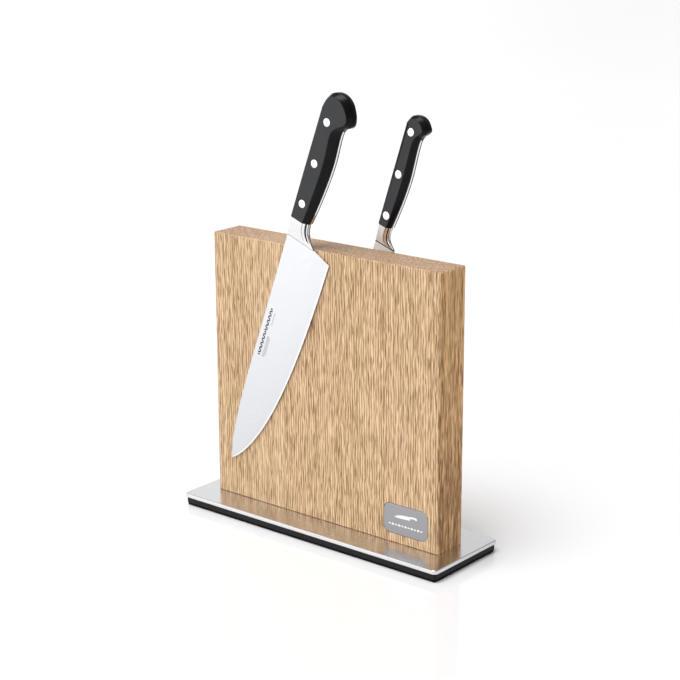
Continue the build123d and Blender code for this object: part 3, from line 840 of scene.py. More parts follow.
# ------------------------------------------------------------------ repeated discs
class DiscTree:
    """A Geometry Nodes tree that sets out a grid of crowned discs, each with an optional shank."""

    INPUTS = (
        ("Columns", "NodeSocketInt"),
        ("Rows", "NodeSocketInt"),
        ("Pitch Across", "NodeSocketFloat"),
        ("Pitch Along", "NodeSocketFloat"),
        ("Radius", "NodeSocketFloat"),
        ("Thickness", "NodeSocketFloat"),
        ("Crown", "NodeSocketFloat"),
        ("Edge Round", "NodeSocketFloat"),
        ("Shank Radius", "NodeSocketFloat"),
        ("Shank Length", "NodeSocketFloat"),
        ("Segments", "NodeSocketInt"),
        ("Finish", "NodeSocketMaterial"),
    )

    def __init__(self) -> None:
        """Build the tree once."""
        self.tree = bpy.data.node_groups.new("crowned_discs", "GeometryNodeTree")
        self.sockets = {}
        for name, kind in self.INPUTS:
            item = self.tree.interface.new_socket(name, in_out="INPUT", socket_type=kind)
            self.sockets[name] = item.identifier
        self.tree.interface.new_socket("Geometry", in_out="OUTPUT", socket_type="NodeSocketGeometry")
        self._wire()

    def _add(self, kind: str, inputs: dict, **settings: object) -> bpy.types.Node:
        """Add a node.

        Args:
            kind: the node's type name.
            inputs: its input sockets, by name or index, as values or sockets.
            settings: properties of the node itself.

        Returns:
            The new node.
        """
        node = self.tree.nodes.new(kind)
        for key, value in settings.items():
            setattr(node, key, value)
        for key, value in inputs.items():
            if isinstance(value, bpy.types.NodeSocket):
                self.tree.links.new(value, node.inputs[key])
            else:
                node.inputs[key].default_value = value
        return node

    def _maths(self, operation: str, a: Value, b: Value = 0.0) -> Socket:
        """One arithmetic step."""
        return self._add("ShaderNodeMath", {0: a, 1: b}, operation=operation).outputs[0]

    def _wire(self) -> None:
        """Wire grid, disc, crown, shank, instances, and the plain result."""
        given = self.tree.nodes.new("NodeGroupInput").outputs
        width = self._maths("MULTIPLY", given["Pitch Across"], self._maths("SUBTRACT", given["Columns"], 1.0))
        length = self._maths("MULTIPLY", given["Pitch Along"], self._maths("SUBTRACT", given["Rows"], 1.0))
        grid = self._add(
            "GeometryNodeMeshGrid",
            {"Size X": width, "Size Y": length, "Vertices X": given["Columns"], "Vertices Y": given["Rows"]},
        )
        disc = self._add(
            "GeometryNodeMeshCylinder",
            {
                "Vertices": given["Segments"],
                "Side Segments": 1,
                "Fill Segments": 5,
                "Radius": given["Radius"],
                "Depth": given["Thickness"],
            },
        )
        place = self._add("ShaderNodeSeparateXYZ", {0: self.tree.nodes.new("GeometryNodeInputPosition").outputs[0]})
        x, y, z = place.outputs
        square = self._maths("ADD", self._maths("MULTIPLY", x, x), self._maths("MULTIPLY", y, y))
        share = self._maths("DIVIDE", self._maths("SQRT", square), given["Radius"])
        dome = self._maths("SUBTRACT", 1.0, self._maths("MULTIPLY", share, share))
        crown = self._maths("MULTIPLY", given["Crown"], dome)
        rim = self._maths("MAXIMUM", self._maths("MULTIPLY", self._maths("SUBTRACT", share, 0.8), 5.0), 0.0)
        drop = self._maths("MULTIPLY", given["Edge Round"], self._maths("MULTIPLY", rim, rim))
        on_top = self._maths("GREATER_THAN", z, 0.0)
        rise = self._maths("MULTIPLY", self._maths("SUBTRACT", crown, drop), on_top)
        offset = self._add("ShaderNodeCombineXYZ", {2: rise}).outputs[0]
        shaped = self._add("GeometryNodeSetPosition", {"Geometry": disc.outputs["Mesh"], "Offset": offset})
        shank = self._add(
            "GeometryNodeMeshCylinder",
            {"Vertices": given["Segments"], "Radius": given["Shank Radius"], "Depth": given["Shank Length"]},
        )
        halves = self._maths("ADD", given["Thickness"], given["Shank Length"])
        below = self._add("ShaderNodeCombineXYZ", {2: self._maths("MULTIPLY", halves, -0.5)}).outputs[0]
        lowered = self._add("GeometryNodeTransform", {"Geometry": shank.outputs["Mesh"], "Translation": below})
        joined = self.tree.nodes.new("GeometryNodeJoinGeometry")
        for part in (shaped, lowered):
            self.tree.links.new(part.outputs[0], joined.inputs[0])
        sources = {"Points": grid.outputs["Mesh"], "Instance": joined.outputs[0]}
        placed = self._add("GeometryNodeInstanceOnPoints", sources)
        real = self._add("GeometryNodeRealizeInstances", {0: placed.outputs[0]})
        dressed = self._add("GeometryNodeSetMaterial", {"Geometry": real.outputs[0], "Material": given["Finish"]})
        result = self.tree.nodes.new("NodeGroupOutput")
        self.tree.links.new(dressed.outputs[0], result.inputs[0])

    def lay_out(self, shop: Workshop, name: str, place: Matrix, finish: str, **sizes: float) -> bpy.types.Object:
        """Make one object of discs.

        Args:
            shop: the workshop that bakes the result.
            name: the piece's name.
            place: where the grid's middle and axes go, in metres; the discs crown along its z.
            finish: the discs' finish.
            sizes: the tree's inputs, named with underscores; lengths are in metres.

        Returns:
            The finished object.
        """
        thing = bpy.data.objects.new(name, bpy.data.meshes.new(name))
        bpy.context.scene.collection.objects.link(thing)
        layout = thing.modifiers.new("layout", "NODES")
        layout.node_group = self.tree
        for key, value in sizes.items():
            layout[self.sockets[key.replace("_", " ").title()]] = value
        layout[self.sockets["Finish"]] = shop.finishes[finish]
        shop.settle(thing)
        thing.data.transform(place)
        shop.soften(thing)
        return thing


# ------------------------------------------------------------------ the rack
@dataclass
class OakBlock:
    """The two glued oak boards, their magnets and keepers, and the badge in the front one."""

    edge_round: float = 0.45
    magnet_columns: int = 5
    magnet_rows: int = 4
    magnet_pitch: Point = (46.0, 52.0)
    magnet_radius: float = 9.0
    disc_round: float = 0.3
    disc_pip: Point = (4.0, 0.1)
    badge_corner: float = 7.0
    badge_round: float = 0.35
    badge_round_steps: int = 4
    badge_cap: float = 0.4
    engraving_height: float = 0.03
    mark_scale: float = 0.8
    mark_above: float = 4.2
    row_level: float = -4.9
    row_length: float = 37.0
    row_count: int = 11
    lozenge_half: Point = (1.56, 1.3)
    bar_share: float = 0.34
    bar_half: float = 0.55
    knife_mark: tuple[Point, ...] = (
        (-15.0, -2.6), (-11.0, -0.6), (-5.5, 0.7), (1.0, 1.25), (5.2, 1.3), (5.6, 1.75), (6.6, 2.0),
        (12.6, 2.25), (14.6, 1.9), (15.2, 0.6), (14.8, -0.6), (13.6, -1.2), (12.8, 0.0), (7.6, -0.1),
        (6.4, -0.5), (5.7, -2.6), (-6.0, -3.2), (-11.5, -3.2),
    )

    def build(self, shop: Workshop, discs: DiscTree) -> list[bpy.types.Object]:
        """Build and place everything that belongs to the block.

        Args:
            shop: the workshop.
            discs: the tree for repeated discs.

        Returns:
            The finished pieces.
        """
        pieces = []
        for side in ("front", "rear"):
            board = shop.refined(f"{side}_oak_panel", f"oak_board_{side}", "oak", self.edge_round)
            pieces.append(board)
            for node, finish in (("magnets", "magnet_nickel"), ("keeper_discs", "keeper_steel")):
                pieces.append(self._disc_set(shop, discs, f"{side}_{node}", finish))
        pieces.append(self._badge(shop))
        pieces.append(self._engraving(shop))
        for piece in pieces:
            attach(piece, Body.RACK.value)
        return pieces

    def _disc_set(self, shop: Workshop, discs: DiscTree, node: str, finish: str) -> bpy.types.Object:
        """The discs of one node, laid out in their bores.

        Args:
            shop: the workshop.
            discs: the tree for repeated discs.
            node: the CAD node they stand for.
            finish: their finish.

        Returns:
            The finished discs.
        """
        low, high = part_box(node)
        pip_radius, pip_length = self.disc_pip
        place = Matrix.Translation((low + high) / 2) @ Matrix.Rotation(math.radians(90), 4, "X")
        thing = discs.lay_out(
            shop, f"{node}_set", place, finish,
            columns=self.magnet_columns, rows=self.magnet_rows,
            pitch_across=self.magnet_pitch[0] * MM, pitch_along=self.magnet_pitch[1] * MM,
            radius=self.magnet_radius * MM, thickness=high.y - low.y, crown=0.0, edge_round=self.disc_round * MM,
            shank_radius=pip_radius * MM, shank_length=pip_length * MM, segments=32,
        )
        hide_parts(node)
        return thing

    def _badge(self, shop: Workshop) -> bpy.types.Object:
        """The steel badge: a rounded plate with a softened rim.

        Args:
            shop: the workshop.

        Returns:
            The finished badge.
        """
        low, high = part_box("steel_badge")
        middle = (low + high) / 2
        width = (high.x - low.x) / MM
        height = (high.z - low.z) / MM
        soft = self.badge_round
        levels = [(high.y, 0.0), (low.y + soft * MM, 0.0)]
        for step in range(1, self.badge_round_steps + 1):
            angle = math.radians(90 * step / self.badge_round_steps)
            levels.append((low.y + soft * MM * (1 - math.sin(angle)), soft * (1 - math.cos(angle))))
        levels.append((low.y, soft + self.badge_cap))
        rings = []
        for y, inset in levels:
            outline = rounded_rectangle(width - 2 * inset, height - 2 * inset, self.badge_corner - inset)
            rings.append([Vector((middle.x + x * MM, y, middle.z + z * MM)) for x, z in outline])
        thing = shop.piece("badge_plate", skin(rings), "badge_steel")
        shop.soften(thing)
        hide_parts("steel_badge")
        return thing

    def _engraving(self, shop: Workshop) -> bpy.types.Object:
        """A small knife silhouette over a row of plain lozenges and bars, frosted onto the badge.

        Args:
            shop: the workshop.

        Returns:
            The finished engraving.
        """
        low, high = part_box("steel_badge")
        middle = (low + high) / 2

        def on_badge(point: Point, level: float) -> Vector:
            """A point on the badge's face, lifted by a level in millimetres."""
            return Vector((middle.x + point[0] * MM, low.y - level * MM, middle.z + point[1] * MM))

        mesh = stamp(self._engraved_shapes(), on_badge, (self.engraving_height, 0.0))
        thing = shop.piece("badge_etching", mesh, "pale_mark")
        return thing

    def _engraved_shapes(self) -> list[list[Point]]:
        """The silhouette and the row under it.

        Returns:
            Their outlines about the badge's middle.
        """
        shapes = [[(x * self.mark_scale, z * self.mark_scale + self.mark_above) for x, z in self.knife_mark]]
        pitch = self.row_length / self.row_count
        for number in range(self.row_count):
            x = (number - (self.row_count - 1) / 2) * pitch
            if number % 2:
                shapes.append(lozenge(x, self.row_level, *self.lozenge_half))
            else:
                shapes.append(bar(x, self.row_level, pitch * self.bar_share, self.bar_half))
        return shapes


@dataclass
class SteelBase:
    """The brushed steel plate, the black tray under it and the studded anti-slip sheet."""

    plate_corner: float = 4.0
    plate_round: float = 0.6
    tray_corner: float = 2.5
    tray_round: float = 0.5
    sheet_corner: float = 2.0
    under_rounds: Point = (0.25, 0.3)
    cap_insets: Point = (0.5, 0.6)
    round_steps: tuple[int, int] = (5, 7)
    corner_steps: int = 14
    stud_height: float = 0.4
    stud_body: float = 0.8
    stud_margin: float = 5.0
    stud_round: float = 0.12
    stud_core: Point = (0.5, 0.1)
    stud_radius: float = 1.7
    stud_crown: float = 0.06
    stud_pitch: float = 5.6

    def build(self, shop: Workshop, discs: DiscTree) -> list[bpy.types.Object]:
        """Build the base's three layers and the studs.

        Args:
            shop: the workshop.
            discs: the tree for repeated discs.

        Returns:
            The finished pieces.
        """
        crisp, soft = self.under_rounds
        plate = self._slab(
            shop, "base_plate", "steel_plate", "base_steel", self.plate_corner, (crisp, self.plate_round)
        )
        tray = self._slab(
            shop, "base_tray", "black_base_tray", "black_tray", self.tray_corner, (soft, self.tray_round)
        )
        sheet = self._slab(
            shop, "anti_slip_sheet", "rubber_sheet", "anti_slip_rubber", self.sheet_corner, (soft, soft),
            self.stud_height,
        )
        pieces = [plate, tray, sheet, self._studs(shop, discs)]
        for piece in pieces:
            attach(piece, Body.RACK.value)
        return pieces

    def _slab(
        self, shop: Workshop, node: str, name: str, finish: str, corner: float, rounds: Point, lift: float = 0.0
    ) -> bpy.types.Object:
        """A rounded slab in place of a CAD node.

        Args:
            shop: the workshop.
            node: the CAD node it stands for.
            name: the piece's name.
            finish: its finish.
            corner: the radius of its outline's corners.
            rounds: the rounding of its lower and upper rim.
            lift: how far its underside stands above the node's.

        Returns:
            The finished slab.
        """
        low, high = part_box(node)
        size = (high - low) / MM
        floor = low.z / MM + lift
        roof = high.z / MM
        under, over = rounds
        under_steps, over_steps = self.round_steps
        levels = [(floor, under + self.cap_insets[0])]
        for step in range(under_steps + 1):
            angle = math.radians(90 * step / under_steps)
            levels.append((floor + under * (1 - math.cos(angle)), under * (1 - math.sin(angle))))
        for step in range(over_steps + 1):
            angle = math.radians(90 * step / over_steps)
            levels.append((roof - over * (1 - math.sin(angle)), over * (1 - math.cos(angle))))
        levels.append((roof, over + self.cap_insets[1]))
        rings = []
        for z, inset in levels:
            sides = (size.x - 2 * inset, size.y - 2 * inset)
            outline = rounded_rectangle(*sides, corner - inset, self.corner_steps)
            rings.append([Vector((x * MM, y * MM, z * MM)) for x, y in outline])
        thing = shop.piece(name, skin(rings), finish)
        shop.soften(thing)
        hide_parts(node)
        return thing

    def _studs(self, shop: Workshop, discs: DiscTree) -> bpy.types.Object:
        """Low rubber studs over the sheet's underside, down to the surface it stands on.

        Args:
            shop: the workshop.
            discs: the tree for repeated discs.

        Returns:
            The finished studs.
        """
        low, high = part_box("anti_slip_sheet")
        size = (high - low) / MM
        columns = int((size.x - 2 * self.stud_margin) / self.stud_pitch)
        rows = int((size.y - 2 * self.stud_margin) / self.stud_pitch)
        thickness = self.stud_height * self.stud_body
        core_radius, core_length = self.stud_core
        place = Matrix.Translation((0, 0, (thickness / 2 + self.stud_crown) * MM)) @ Matrix.Rotation(math.pi, 4, "X")
        thing = discs.lay_out(
            shop, "rubber_studs", place, "anti_slip_rubber",
            columns=columns, rows=rows, pitch_across=self.stud_pitch * MM, pitch_along=self.stud_pitch * MM,
            radius=self.stud_radius * MM, thickness=thickness * MM, crown=self.stud_crown * MM,
            edge_round=self.stud_round * MM, shank_radius=core_radius * MM, shank_length=core_length * MM,
            segments=10,
        )
        return thing


@dataclass
class HiddenFixings:
    """The fixings that the block and base close over. Their shapes stay as designed."""

    finishes: tuple[tuple[str, str], ...] = (
        ("alignment_dowels", "dowel_beech"),
        ("threaded_inserts", "insert_brass"),
        ("base_screws", "zinc_steel"),
        ("badge_adhesive", "badge_glue"),
    )

    def dress(self, shop: Workshop) -> list[bpy.types.Object]:
        """Give each fixing its finish.

        Args:
            shop: the workshop.

        Returns:
            The fixings.
        """
        dressed = []
        for node, finish in self.finishes:
            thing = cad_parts[node]
            shop.dress(thing, finish)
            dressed.append(thing)
        return dressed


# ------------------------------------------------------------------ knives
@dataclass(frozen=True)
class HandleOutline:
    """A scale's outline at one depth, as (across, along) points in millimetres."""

    back_front: Point
    back_end: Point
    butt: tuple[Point, ...]
    hook_tip: Point
    throat: tuple[Point, ...]
    belly_end: Point
    belly: tuple[Point, ...]
    belly_front: Point
    back_steps: int = 30
    belly_steps: int = 10
    front_steps: int = 8

    def loop(self, steps: int = 5) -> list[Point]:
        """The closed outline, with the same number of points for every depth.

        Args:
            steps: samples between each two points of the butt.

        Returns:
            The outline's points, from the back's front end round the butt.
        """
        back = straight(self.back_front, self.back_end, self.back_steps)
        butt = smooth_path((self.back_end, *self.butt, self.hook_tip), (0, 1), (0, -1), steps)
        throat = smooth_path((self.hook_tip, *self.throat, self.belly_end), (0, -1), (0, -1), steps + 1)
        under = (self.belly_end, *self.belly, self.belly_front)
        belly = smooth_path(under, (0, -1), (-0.17, -1), self.belly_steps)
        return back + butt + throat + belly + straight(self.belly_front, self.back_front, self.front_steps)


@dataclass
class Knife:
    """A forged, riveted knife, drawn across, along and through in its own leaning plane.

    Across runs from back to edge, along runs up to the butt, and through runs to the rack's front. A row of
    the blade holds along, back, edge and thickness. A row of the bolster holds along, back, the flat's two
    ends, belly and half depth.
    """

    name: str
    body: Body
    held_on: Face
    origin_x: float
    above_block: float
    lean: float
    blade: tuple[tuple[float, float, float, float], ...]
    heel: tuple[Point, ...]
    bolster: tuple[tuple[float, float, float, float, float, float], ...]
    widest: HandleOutline
    flat: HandleOutline
    half_depth: float
    rivets: tuple[Point, Point, Point]
    hook_start: float
    tongue: tuple[float, float, float]
    spine_bevel: Point
    ridge_depth: float = 2.6
    wall_share: float = 0.92
    bevel_shares: Point = (0.3, 0.6)
    tang_half: float = 0.9
    tang_proud: float = 0.12
    tang_front: float = 2.0
    edge_half: float = 0.28
    edge_bevel: float = 1.3
    edge_tip: Point = (0.02, 0.05)
    grind_share: float = 0.7
    back_round: float = 0.22
    back_share: float = 0.35
    standoff: float = 0.12
    rivet_radius: float = 3.45
    rivet_seat: float = 1.6
    rivet_crown: float = 0.10
    rivet_round: float = 0.16
    rivet_gap: float = 0.12
    rivet_pin: float = 2.0
    rivet_segments: int = 48
    spine_reach: float = 3.0
    blade_steps: int = 110
    bolster_steps: int = 36
    bolster_lap: float = 0.06
    bolster_round: float = 0.45
    edge_sides: tuple[int, int] = (4, 6)
    satin_sides: tuple[int, ...] = (7, 47)
    # Strips of the bolster that carry a painted dark reflection.
    shade_sides: tuple[int, ...] = (11, 19, 27, 35, 43)
    # Strips of the bolster that carry a painted reflection of the oak top.
    warm_sides: tuple[int, ...] = (23, 31)
    steels: tuple[str, ...] = (
        "blade_flank", "blade_edge", "bolster_steel", "joint_line", "bolster_satin", "bolster_shade", "bolster_warm",
    )
    # How many bands at the bolster's blade end carry painted shade.
    joint_bands: int = 1
    flare_shares: tuple[float, ...] = (0.14, 0.36, 0.72)

    def place(self) -> Matrix:
        """Where the knife hangs.

        Returns:
            The matrix from the knife's own millimetres to the rack's frame in metres.
        """
        lean = math.radians(self.lean)
        low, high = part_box(f"{self.held_on.name.lower()}_oak_panel")
        face_y = low.y if self.held_on is Face.FRONT else high.y
        half_blade = self.blade[-1][3] / 2
        origin = Vector((
            self.origin_x * MM,
            face_y - self.held_on.value * (self.standoff + half_blade) * MM,
            high.z + self.above_block * MM,
        ))
        across = Vector((math.cos(lean), 0, -math.sin(lean)))
        along = Vector((math.sin(lean), 0, math.cos(lean)))
        through = Vector((0, -1, 0))
        turn = Matrix((across, along, through)).transposed().to_4x4()
        return Matrix.Translation(origin) @ turn @ Matrix.Diagonal((MM, MM, MM, 1))

    def build(self, shop: Workshop, discs: DiscTree) -> list[bpy.types.Object]:
        """Build the forging, the scales and the rivets, and put them on the knife's body.

        Args:
            shop: the workshop.
            discs: the tree for repeated discs.

        Returns:
            The finished pieces.
        """
        pieces = [self._forging(shop)]
        for face in Face:
            pieces.append(self._scale(shop, face))
            pieces.append(self._rivets(shop, discs, face))
        for piece in pieces:
            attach(piece, self.body.value)
        return pieces

    def _blade_ring(self, along: float) -> list[Vector]:
        """One section of the blade: rounded back, flat flanks and a short edge bevel.

        Args:
            along: where the section is.

        Returns:
            The section's points.
        """
        back, edge, thickness = smooth_values(self.blade, along)
        half = thickness / 2
        grind = min(self.edge_half, half * self.grind_share)
        shoulder = edge - self.edge_bevel * grind / self.edge_half
        soft = min(self.back_round, half * self.back_share)
        upper = [
            (back, half - soft), (back + soft * 0.3, half - soft * 0.3), (back + soft, half),
            (back + (shoulder - back) * 0.5, half + (grind - half) * 0.5),
            (shoulder, grind), (edge - self.edge_tip[0], self.edge_tip[1]),
        ]
        lower = [(x, -d) for x, d in reversed(upper)]
        return [Vector((x, along, d)) for x, d in upper + lower]

    def _blade(self, shop: Workshop) -> bpy.types.Object:
        """The blade, tapering to its tip, with its heel trimmed to a slant.

        Args:
            shop: the workshop.

        Returns:
            The blade, in the knife's own millimetres.
        """
        start = self.blade[0][0]
        stations = [start * (1 - step / self.blade_steps) for step in range(self.blade_steps + 1)]
        rings = [self._blade_ring(along) for along in stations]
        mesh = skin(rings)
        mesh.faces.ensure_lookup_table()
        count = len(rings[0])
        bands = len(rings) - 1
        for number in range(bands * count):
            area = Steel.EDGE if number % count in self.edge_sides else Steel.FLANK
            mesh.faces[number].material_index = area.value
        blade = shop.piece(f"{self.name}_blade_blank", mesh, *self.steels)
        deep = self.half_depth
        cutter = skin([[Vector((x, y, d)) for x, y in self.heel] for d in (-deep, deep)])
        tool = shop.piece("heel_cutter", cutter, "blade_edge")
        return shop.carve(blade, tool, "DIFFERENCE")

    def _bolster(self, shop: Workshop) -> bpy.types.Object:
        """The bolster, swelling from the blade to the handle, with softened corners.

        Args:
            shop: the workshop.

        Returns:
            The bolster, in the knife's own millimetres.
        """
        reach = self.bolster[-1][0]
        rings = []
        steps = self.bolster_steps
        for step in range(steps + 1):
            along = reach * step / steps
            back, flat_start, flat_end, belly, half = smooth_values(self.bolster, along)
            half = max(half, self.bolster[0][5] + self.bolster_lap)
            rim = min(self.tang_half, half * 0.95)
            flare = [beyond((flat_end, half), (belly, rim), share) for share in reversed(self.flare_shares)]
            upper = [(belly, rim), *(tuple(p) for p in flare), (flat_end, half), (flat_start, half), (back, rim)]
            lower = [(x, -d) for x, d in reversed(upper)]
            rings.append([Vector((x, along, d)) for x, d in soft_corners(lower + upper, self.bolster_round)])
        # The first bands from the blade carry painted shade where the bolster rises from the blade.
        plain = [Steel.BOLSTER.value] * (steps + 1 - self.joint_bands)
        mesh = skin(rings, [Steel.JOINT.value] * self.joint_bands + plain)
        mesh.faces.ensure_lookup_table()
        count = len(rings[0])
        # Strips round the bolster carry a painted dark reflection or a painted reflection of the oak top.
        striped = ((Steel.SATIN, self.satin_sides), (Steel.SHADE, self.shade_sides), (Steel.WARM, self.warm_sides))
        areas = {side: area for area, sides in striped for side in sides}
        for number in range(count * self.joint_bands, steps * count):
            mesh.faces[number].material_index = areas.get(number % count, Steel.BOLSTER).value
        return shop.piece("bolster_blank", mesh, *self.steels)

    def _tang(self, shop: Workshop) -> bpy.types.Object:
        """The tang: the handle's outline up to the hook, and an enclosed tongue beyond.

        Args:
            shop: the workshop.

        Returns:
            The tang, in the knife's own millimetres.
        """
        reach = self.hook_start
        tongue_back, tongue_belly, tongue_end = self.tongue
        outline = self.widest.loop()
        turn = self.widest.back_steps
        rising = [p for p in outline[:turn] if p[1] < reach]
        falling = [p for p in outline[turn:] if p[1] < reach]
        proud = self.tang_proud
        rising = [(x - proud, y) for x, y in rising] + [(rising[-1][0] - proud, reach)]
        falling = [(x + (proud if x > rising[0][0] + self.tang_front else 0), y) for x, y in falling]
        tip = [(tongue_back, reach), (tongue_back, tongue_end), (tongue_belly, tongue_end), (tongue_belly, reach)]
        points = rising + tip + [(falling[0][0], reach)] + falling
        sides = [[Vector((x, y, d)) for x, y in points] for d in (-self.tang_half, self.tang_half)]
        mesh = skin(sides, [Steel.BOLSTER.value] * 2)
        return shop.piece("tang_blank", mesh, *self.steels)

    def _forging(self, shop: Workshop) -> bpy.types.Object:
        """Blade, bolster and tang as one piece of steel.

        Args:
            shop: the workshop.

        Returns:
            The finished forging.
        """
        steel = self._blade(shop)
        for part in (self._bolster(shop), self._tang(shop)):
            shop.carve(steel, part, "UNION")
        steel.name = f"{self.name}_blade_and_tang"
        steel.data.transform(self.place())
        shop.soften(steel, 24)
        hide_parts(f"{self.name}_knife_forging")
        return steel

    def _scale(self, shop: Workshop, face: Face) -> bpy.types.Object:
        """One handle scale: a flat, a bevel all round it, seats for the rivets and the tang's slot.

        Args:
            shop: the workshop.
            face: the side of the knife that it covers.

        Returns:
            The finished scale.
        """
        wide = self.widest.loop()
        flat = self.flat.loop()
        ridge = self.ridge_depth
        top = self.half_depth
        wall = ridge * self.wall_share
        profile = [(0.0, 0.0), (0.0, wall)]
        profile += bend((0.0, wall), (0.0, ridge), (0.08, ridge + 0.4), 4)
        profile += [(share, ridge + share * (top - ridge)) for share in self.bevel_shares]
        profile += bend((0.88, ridge + 0.88 * (top - ridge)), (1.0, top), (1.16, top), 5)
        profile.append((1.3, top))
        rings = []
        for share, depth in profile:
            ring = [beyond(a, b, share) for a, b in zip(wide, flat)]
            rings.append([Vector((p.x, p.y, face.value * depth)) for p in ring])
        # The bevel bands take the darker copy of the plastic, as painted shade.
        bevel_bands = len(profile) - 4
        indices = [0] * bevel_bands + [1] * (len(profile) - bevel_bands)
        name = f"{self.name}_{face.name.lower()}"
        scale = shop.piece(f"{name}_grip", skin(rings, indices), "handle_bevel", "handle_flat")
        self._cut_slot(shop, scale, face)
        self._bevel_spine(shop, scale, face)
        seat_radius = self.rivet_radius + self.rivet_gap
        angles = [math.tau * i / self.rivet_segments for i in range(self.rivet_segments)]
        circle = [(math.cos(angle) * seat_radius, math.sin(angle) * seat_radius) for angle in angles]
        for x, y in self.rivets:
            depths = (face.value * (top - self.rivet_seat), face.value * (top + 1))
            seat = [[Vector((x + dx, y + dy, depth)) for dx, dy in circle] for depth in depths]
            shop.carve(scale, shop.piece("seat_cutter", skin(seat), "handle_bevel"), "DIFFERENCE")
        scale.data.transform(self.place())
        shop.soften(scale, 28)
        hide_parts(f"{name}_scale")
        return scale

    def _cut_slot(self, shop: Workshop, scale: bpy.types.Object, face: Face) -> None:
        """Open the slot that the tang lies in.

        Args:
            shop: the workshop.
            scale: the scale to cut.
            face: the side of the knife that it covers.
        """
        start = self.widest.back_front[1] - 2
        deep = self.tang_half * face.value
        corners = [(-6.0, start), (60.0, start), (60.0, self.hook_start), (-6.0, self.hook_start)]
        rings = [[Vector((x, y, d)) for x, y in corners] for d in (-face.value, deep)]
        shop.carve(scale, shop.piece("slot_cutter", skin(rings), "handle_bevel"), "DIFFERENCE")

    def _bevel_spine(self, shop: Workshop, scale: bpy.types.Object, face: Face) -> None:
        """Plane the corner between the scale's flat and its spine.

        Args:
            shop: the workshop.
            scale: the scale to cut.
            face: the side of the knife that it covers.
        """
        across, deep = self.spine_bevel
        slope = deep / (across - self.flat.back_end[0])
        top = self.half_depth
        reach = self.spine_reach
        corners = [(across + 1, top + slope), (-reach, top + slope), (-reach, top - slope * (across + reach))]
        ends = (self.widest.back_front[1] - 1, self.flat.hook_tip[1])
        rings = [[Vector((x, y, face.value * d)) for x, d in corners] for y in ends]
        shop.carve(scale, shop.piece("spine_plane", skin(rings), "handle_bevel"), "DIFFERENCE")

    def _rivets(self, shop: Workshop, discs: DiscTree, face: Face) -> bpy.types.Object:
        """The three rivet halves on one face, crowned and a hair proud of the scale.

        Args:
            shop: the workshop.
            discs: the tree for repeated discs.
            face: the side of the knife that they show on.

        Returns:
            The finished rivet halves.
        """
        first, last = Vector(self.rivets[0]), Vector(self.rivets[-1])
        row = last - first
        centre = (first + last) / 2
        middle = Vector((*centre, face.value * (self.half_depth - self.rivet_seat / 2)))
        tilt = Matrix.Rotation(-math.atan2(row.x, row.y), 4, "Z")
        turn = Matrix.Identity(4) if face is Face.FRONT else Matrix.Rotation(math.pi, 4, "Y")
        to_own_scale = Matrix.Diagonal((1 / MM, 1 / MM, 1 / MM, 1))
        scaled = self.place() @ Matrix.Translation(middle) @ tilt @ turn @ to_own_scale
        kind = "studs" if face is Face.FRONT else "sockets"
        thing = discs.lay_out(
            shop, f"{self.name}_rivet_{kind}_set", scaled, "rivet_steel",
            columns=1, rows=3, pitch_across=0.0, pitch_along=row.length / 2 * MM,
            radius=self.rivet_radius * MM, thickness=self.rivet_seat * MM, crown=self.rivet_crown * MM,
            edge_round=self.rivet_round * MM, shank_radius=self.rivet_pin * MM,
            shank_length=(self.half_depth - self.rivet_seat) * MM, segments=self.rivet_segments,
        )
        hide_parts(f"{self.name}_rivet_{kind}")
        return thing


def bend(start: Point, corner: Point, end: Point, steps: int) -> list[Point]:
    """Sample a rounded corner, leaving out its first point."""
    a, b, c = Vector(start), Vector(corner), Vector(end)
    return [tuple(a.lerp(b, i / steps).lerp(b.lerp(c, i / steps), i / steps)) for i in range(1, steps + 1)]


def soft_corners(corners: Sequence[Point], reach: float) -> list[Point]:
    """Round each corner of a polygon.

    Args:
        corners: the polygon's corners in order.
        reach: how far along each side the rounding starts.

    Returns:
        Four points for each corner.
    """
    softened = []
    count = len(corners)
    for i in range(count):
        before, here, after = (Vector(corners[(i + k) % count]) for k in (-1, 0, 1))
        start = here + (before - here) * min(reach / (before - here).length, 0.3)
        end = here + (after - here) * min(reach / (after - here).length, 0.3)
        softened.append(tuple(start))
        softened += bend(tuple(start), tuple(here), tuple(end), 3)
    return softened


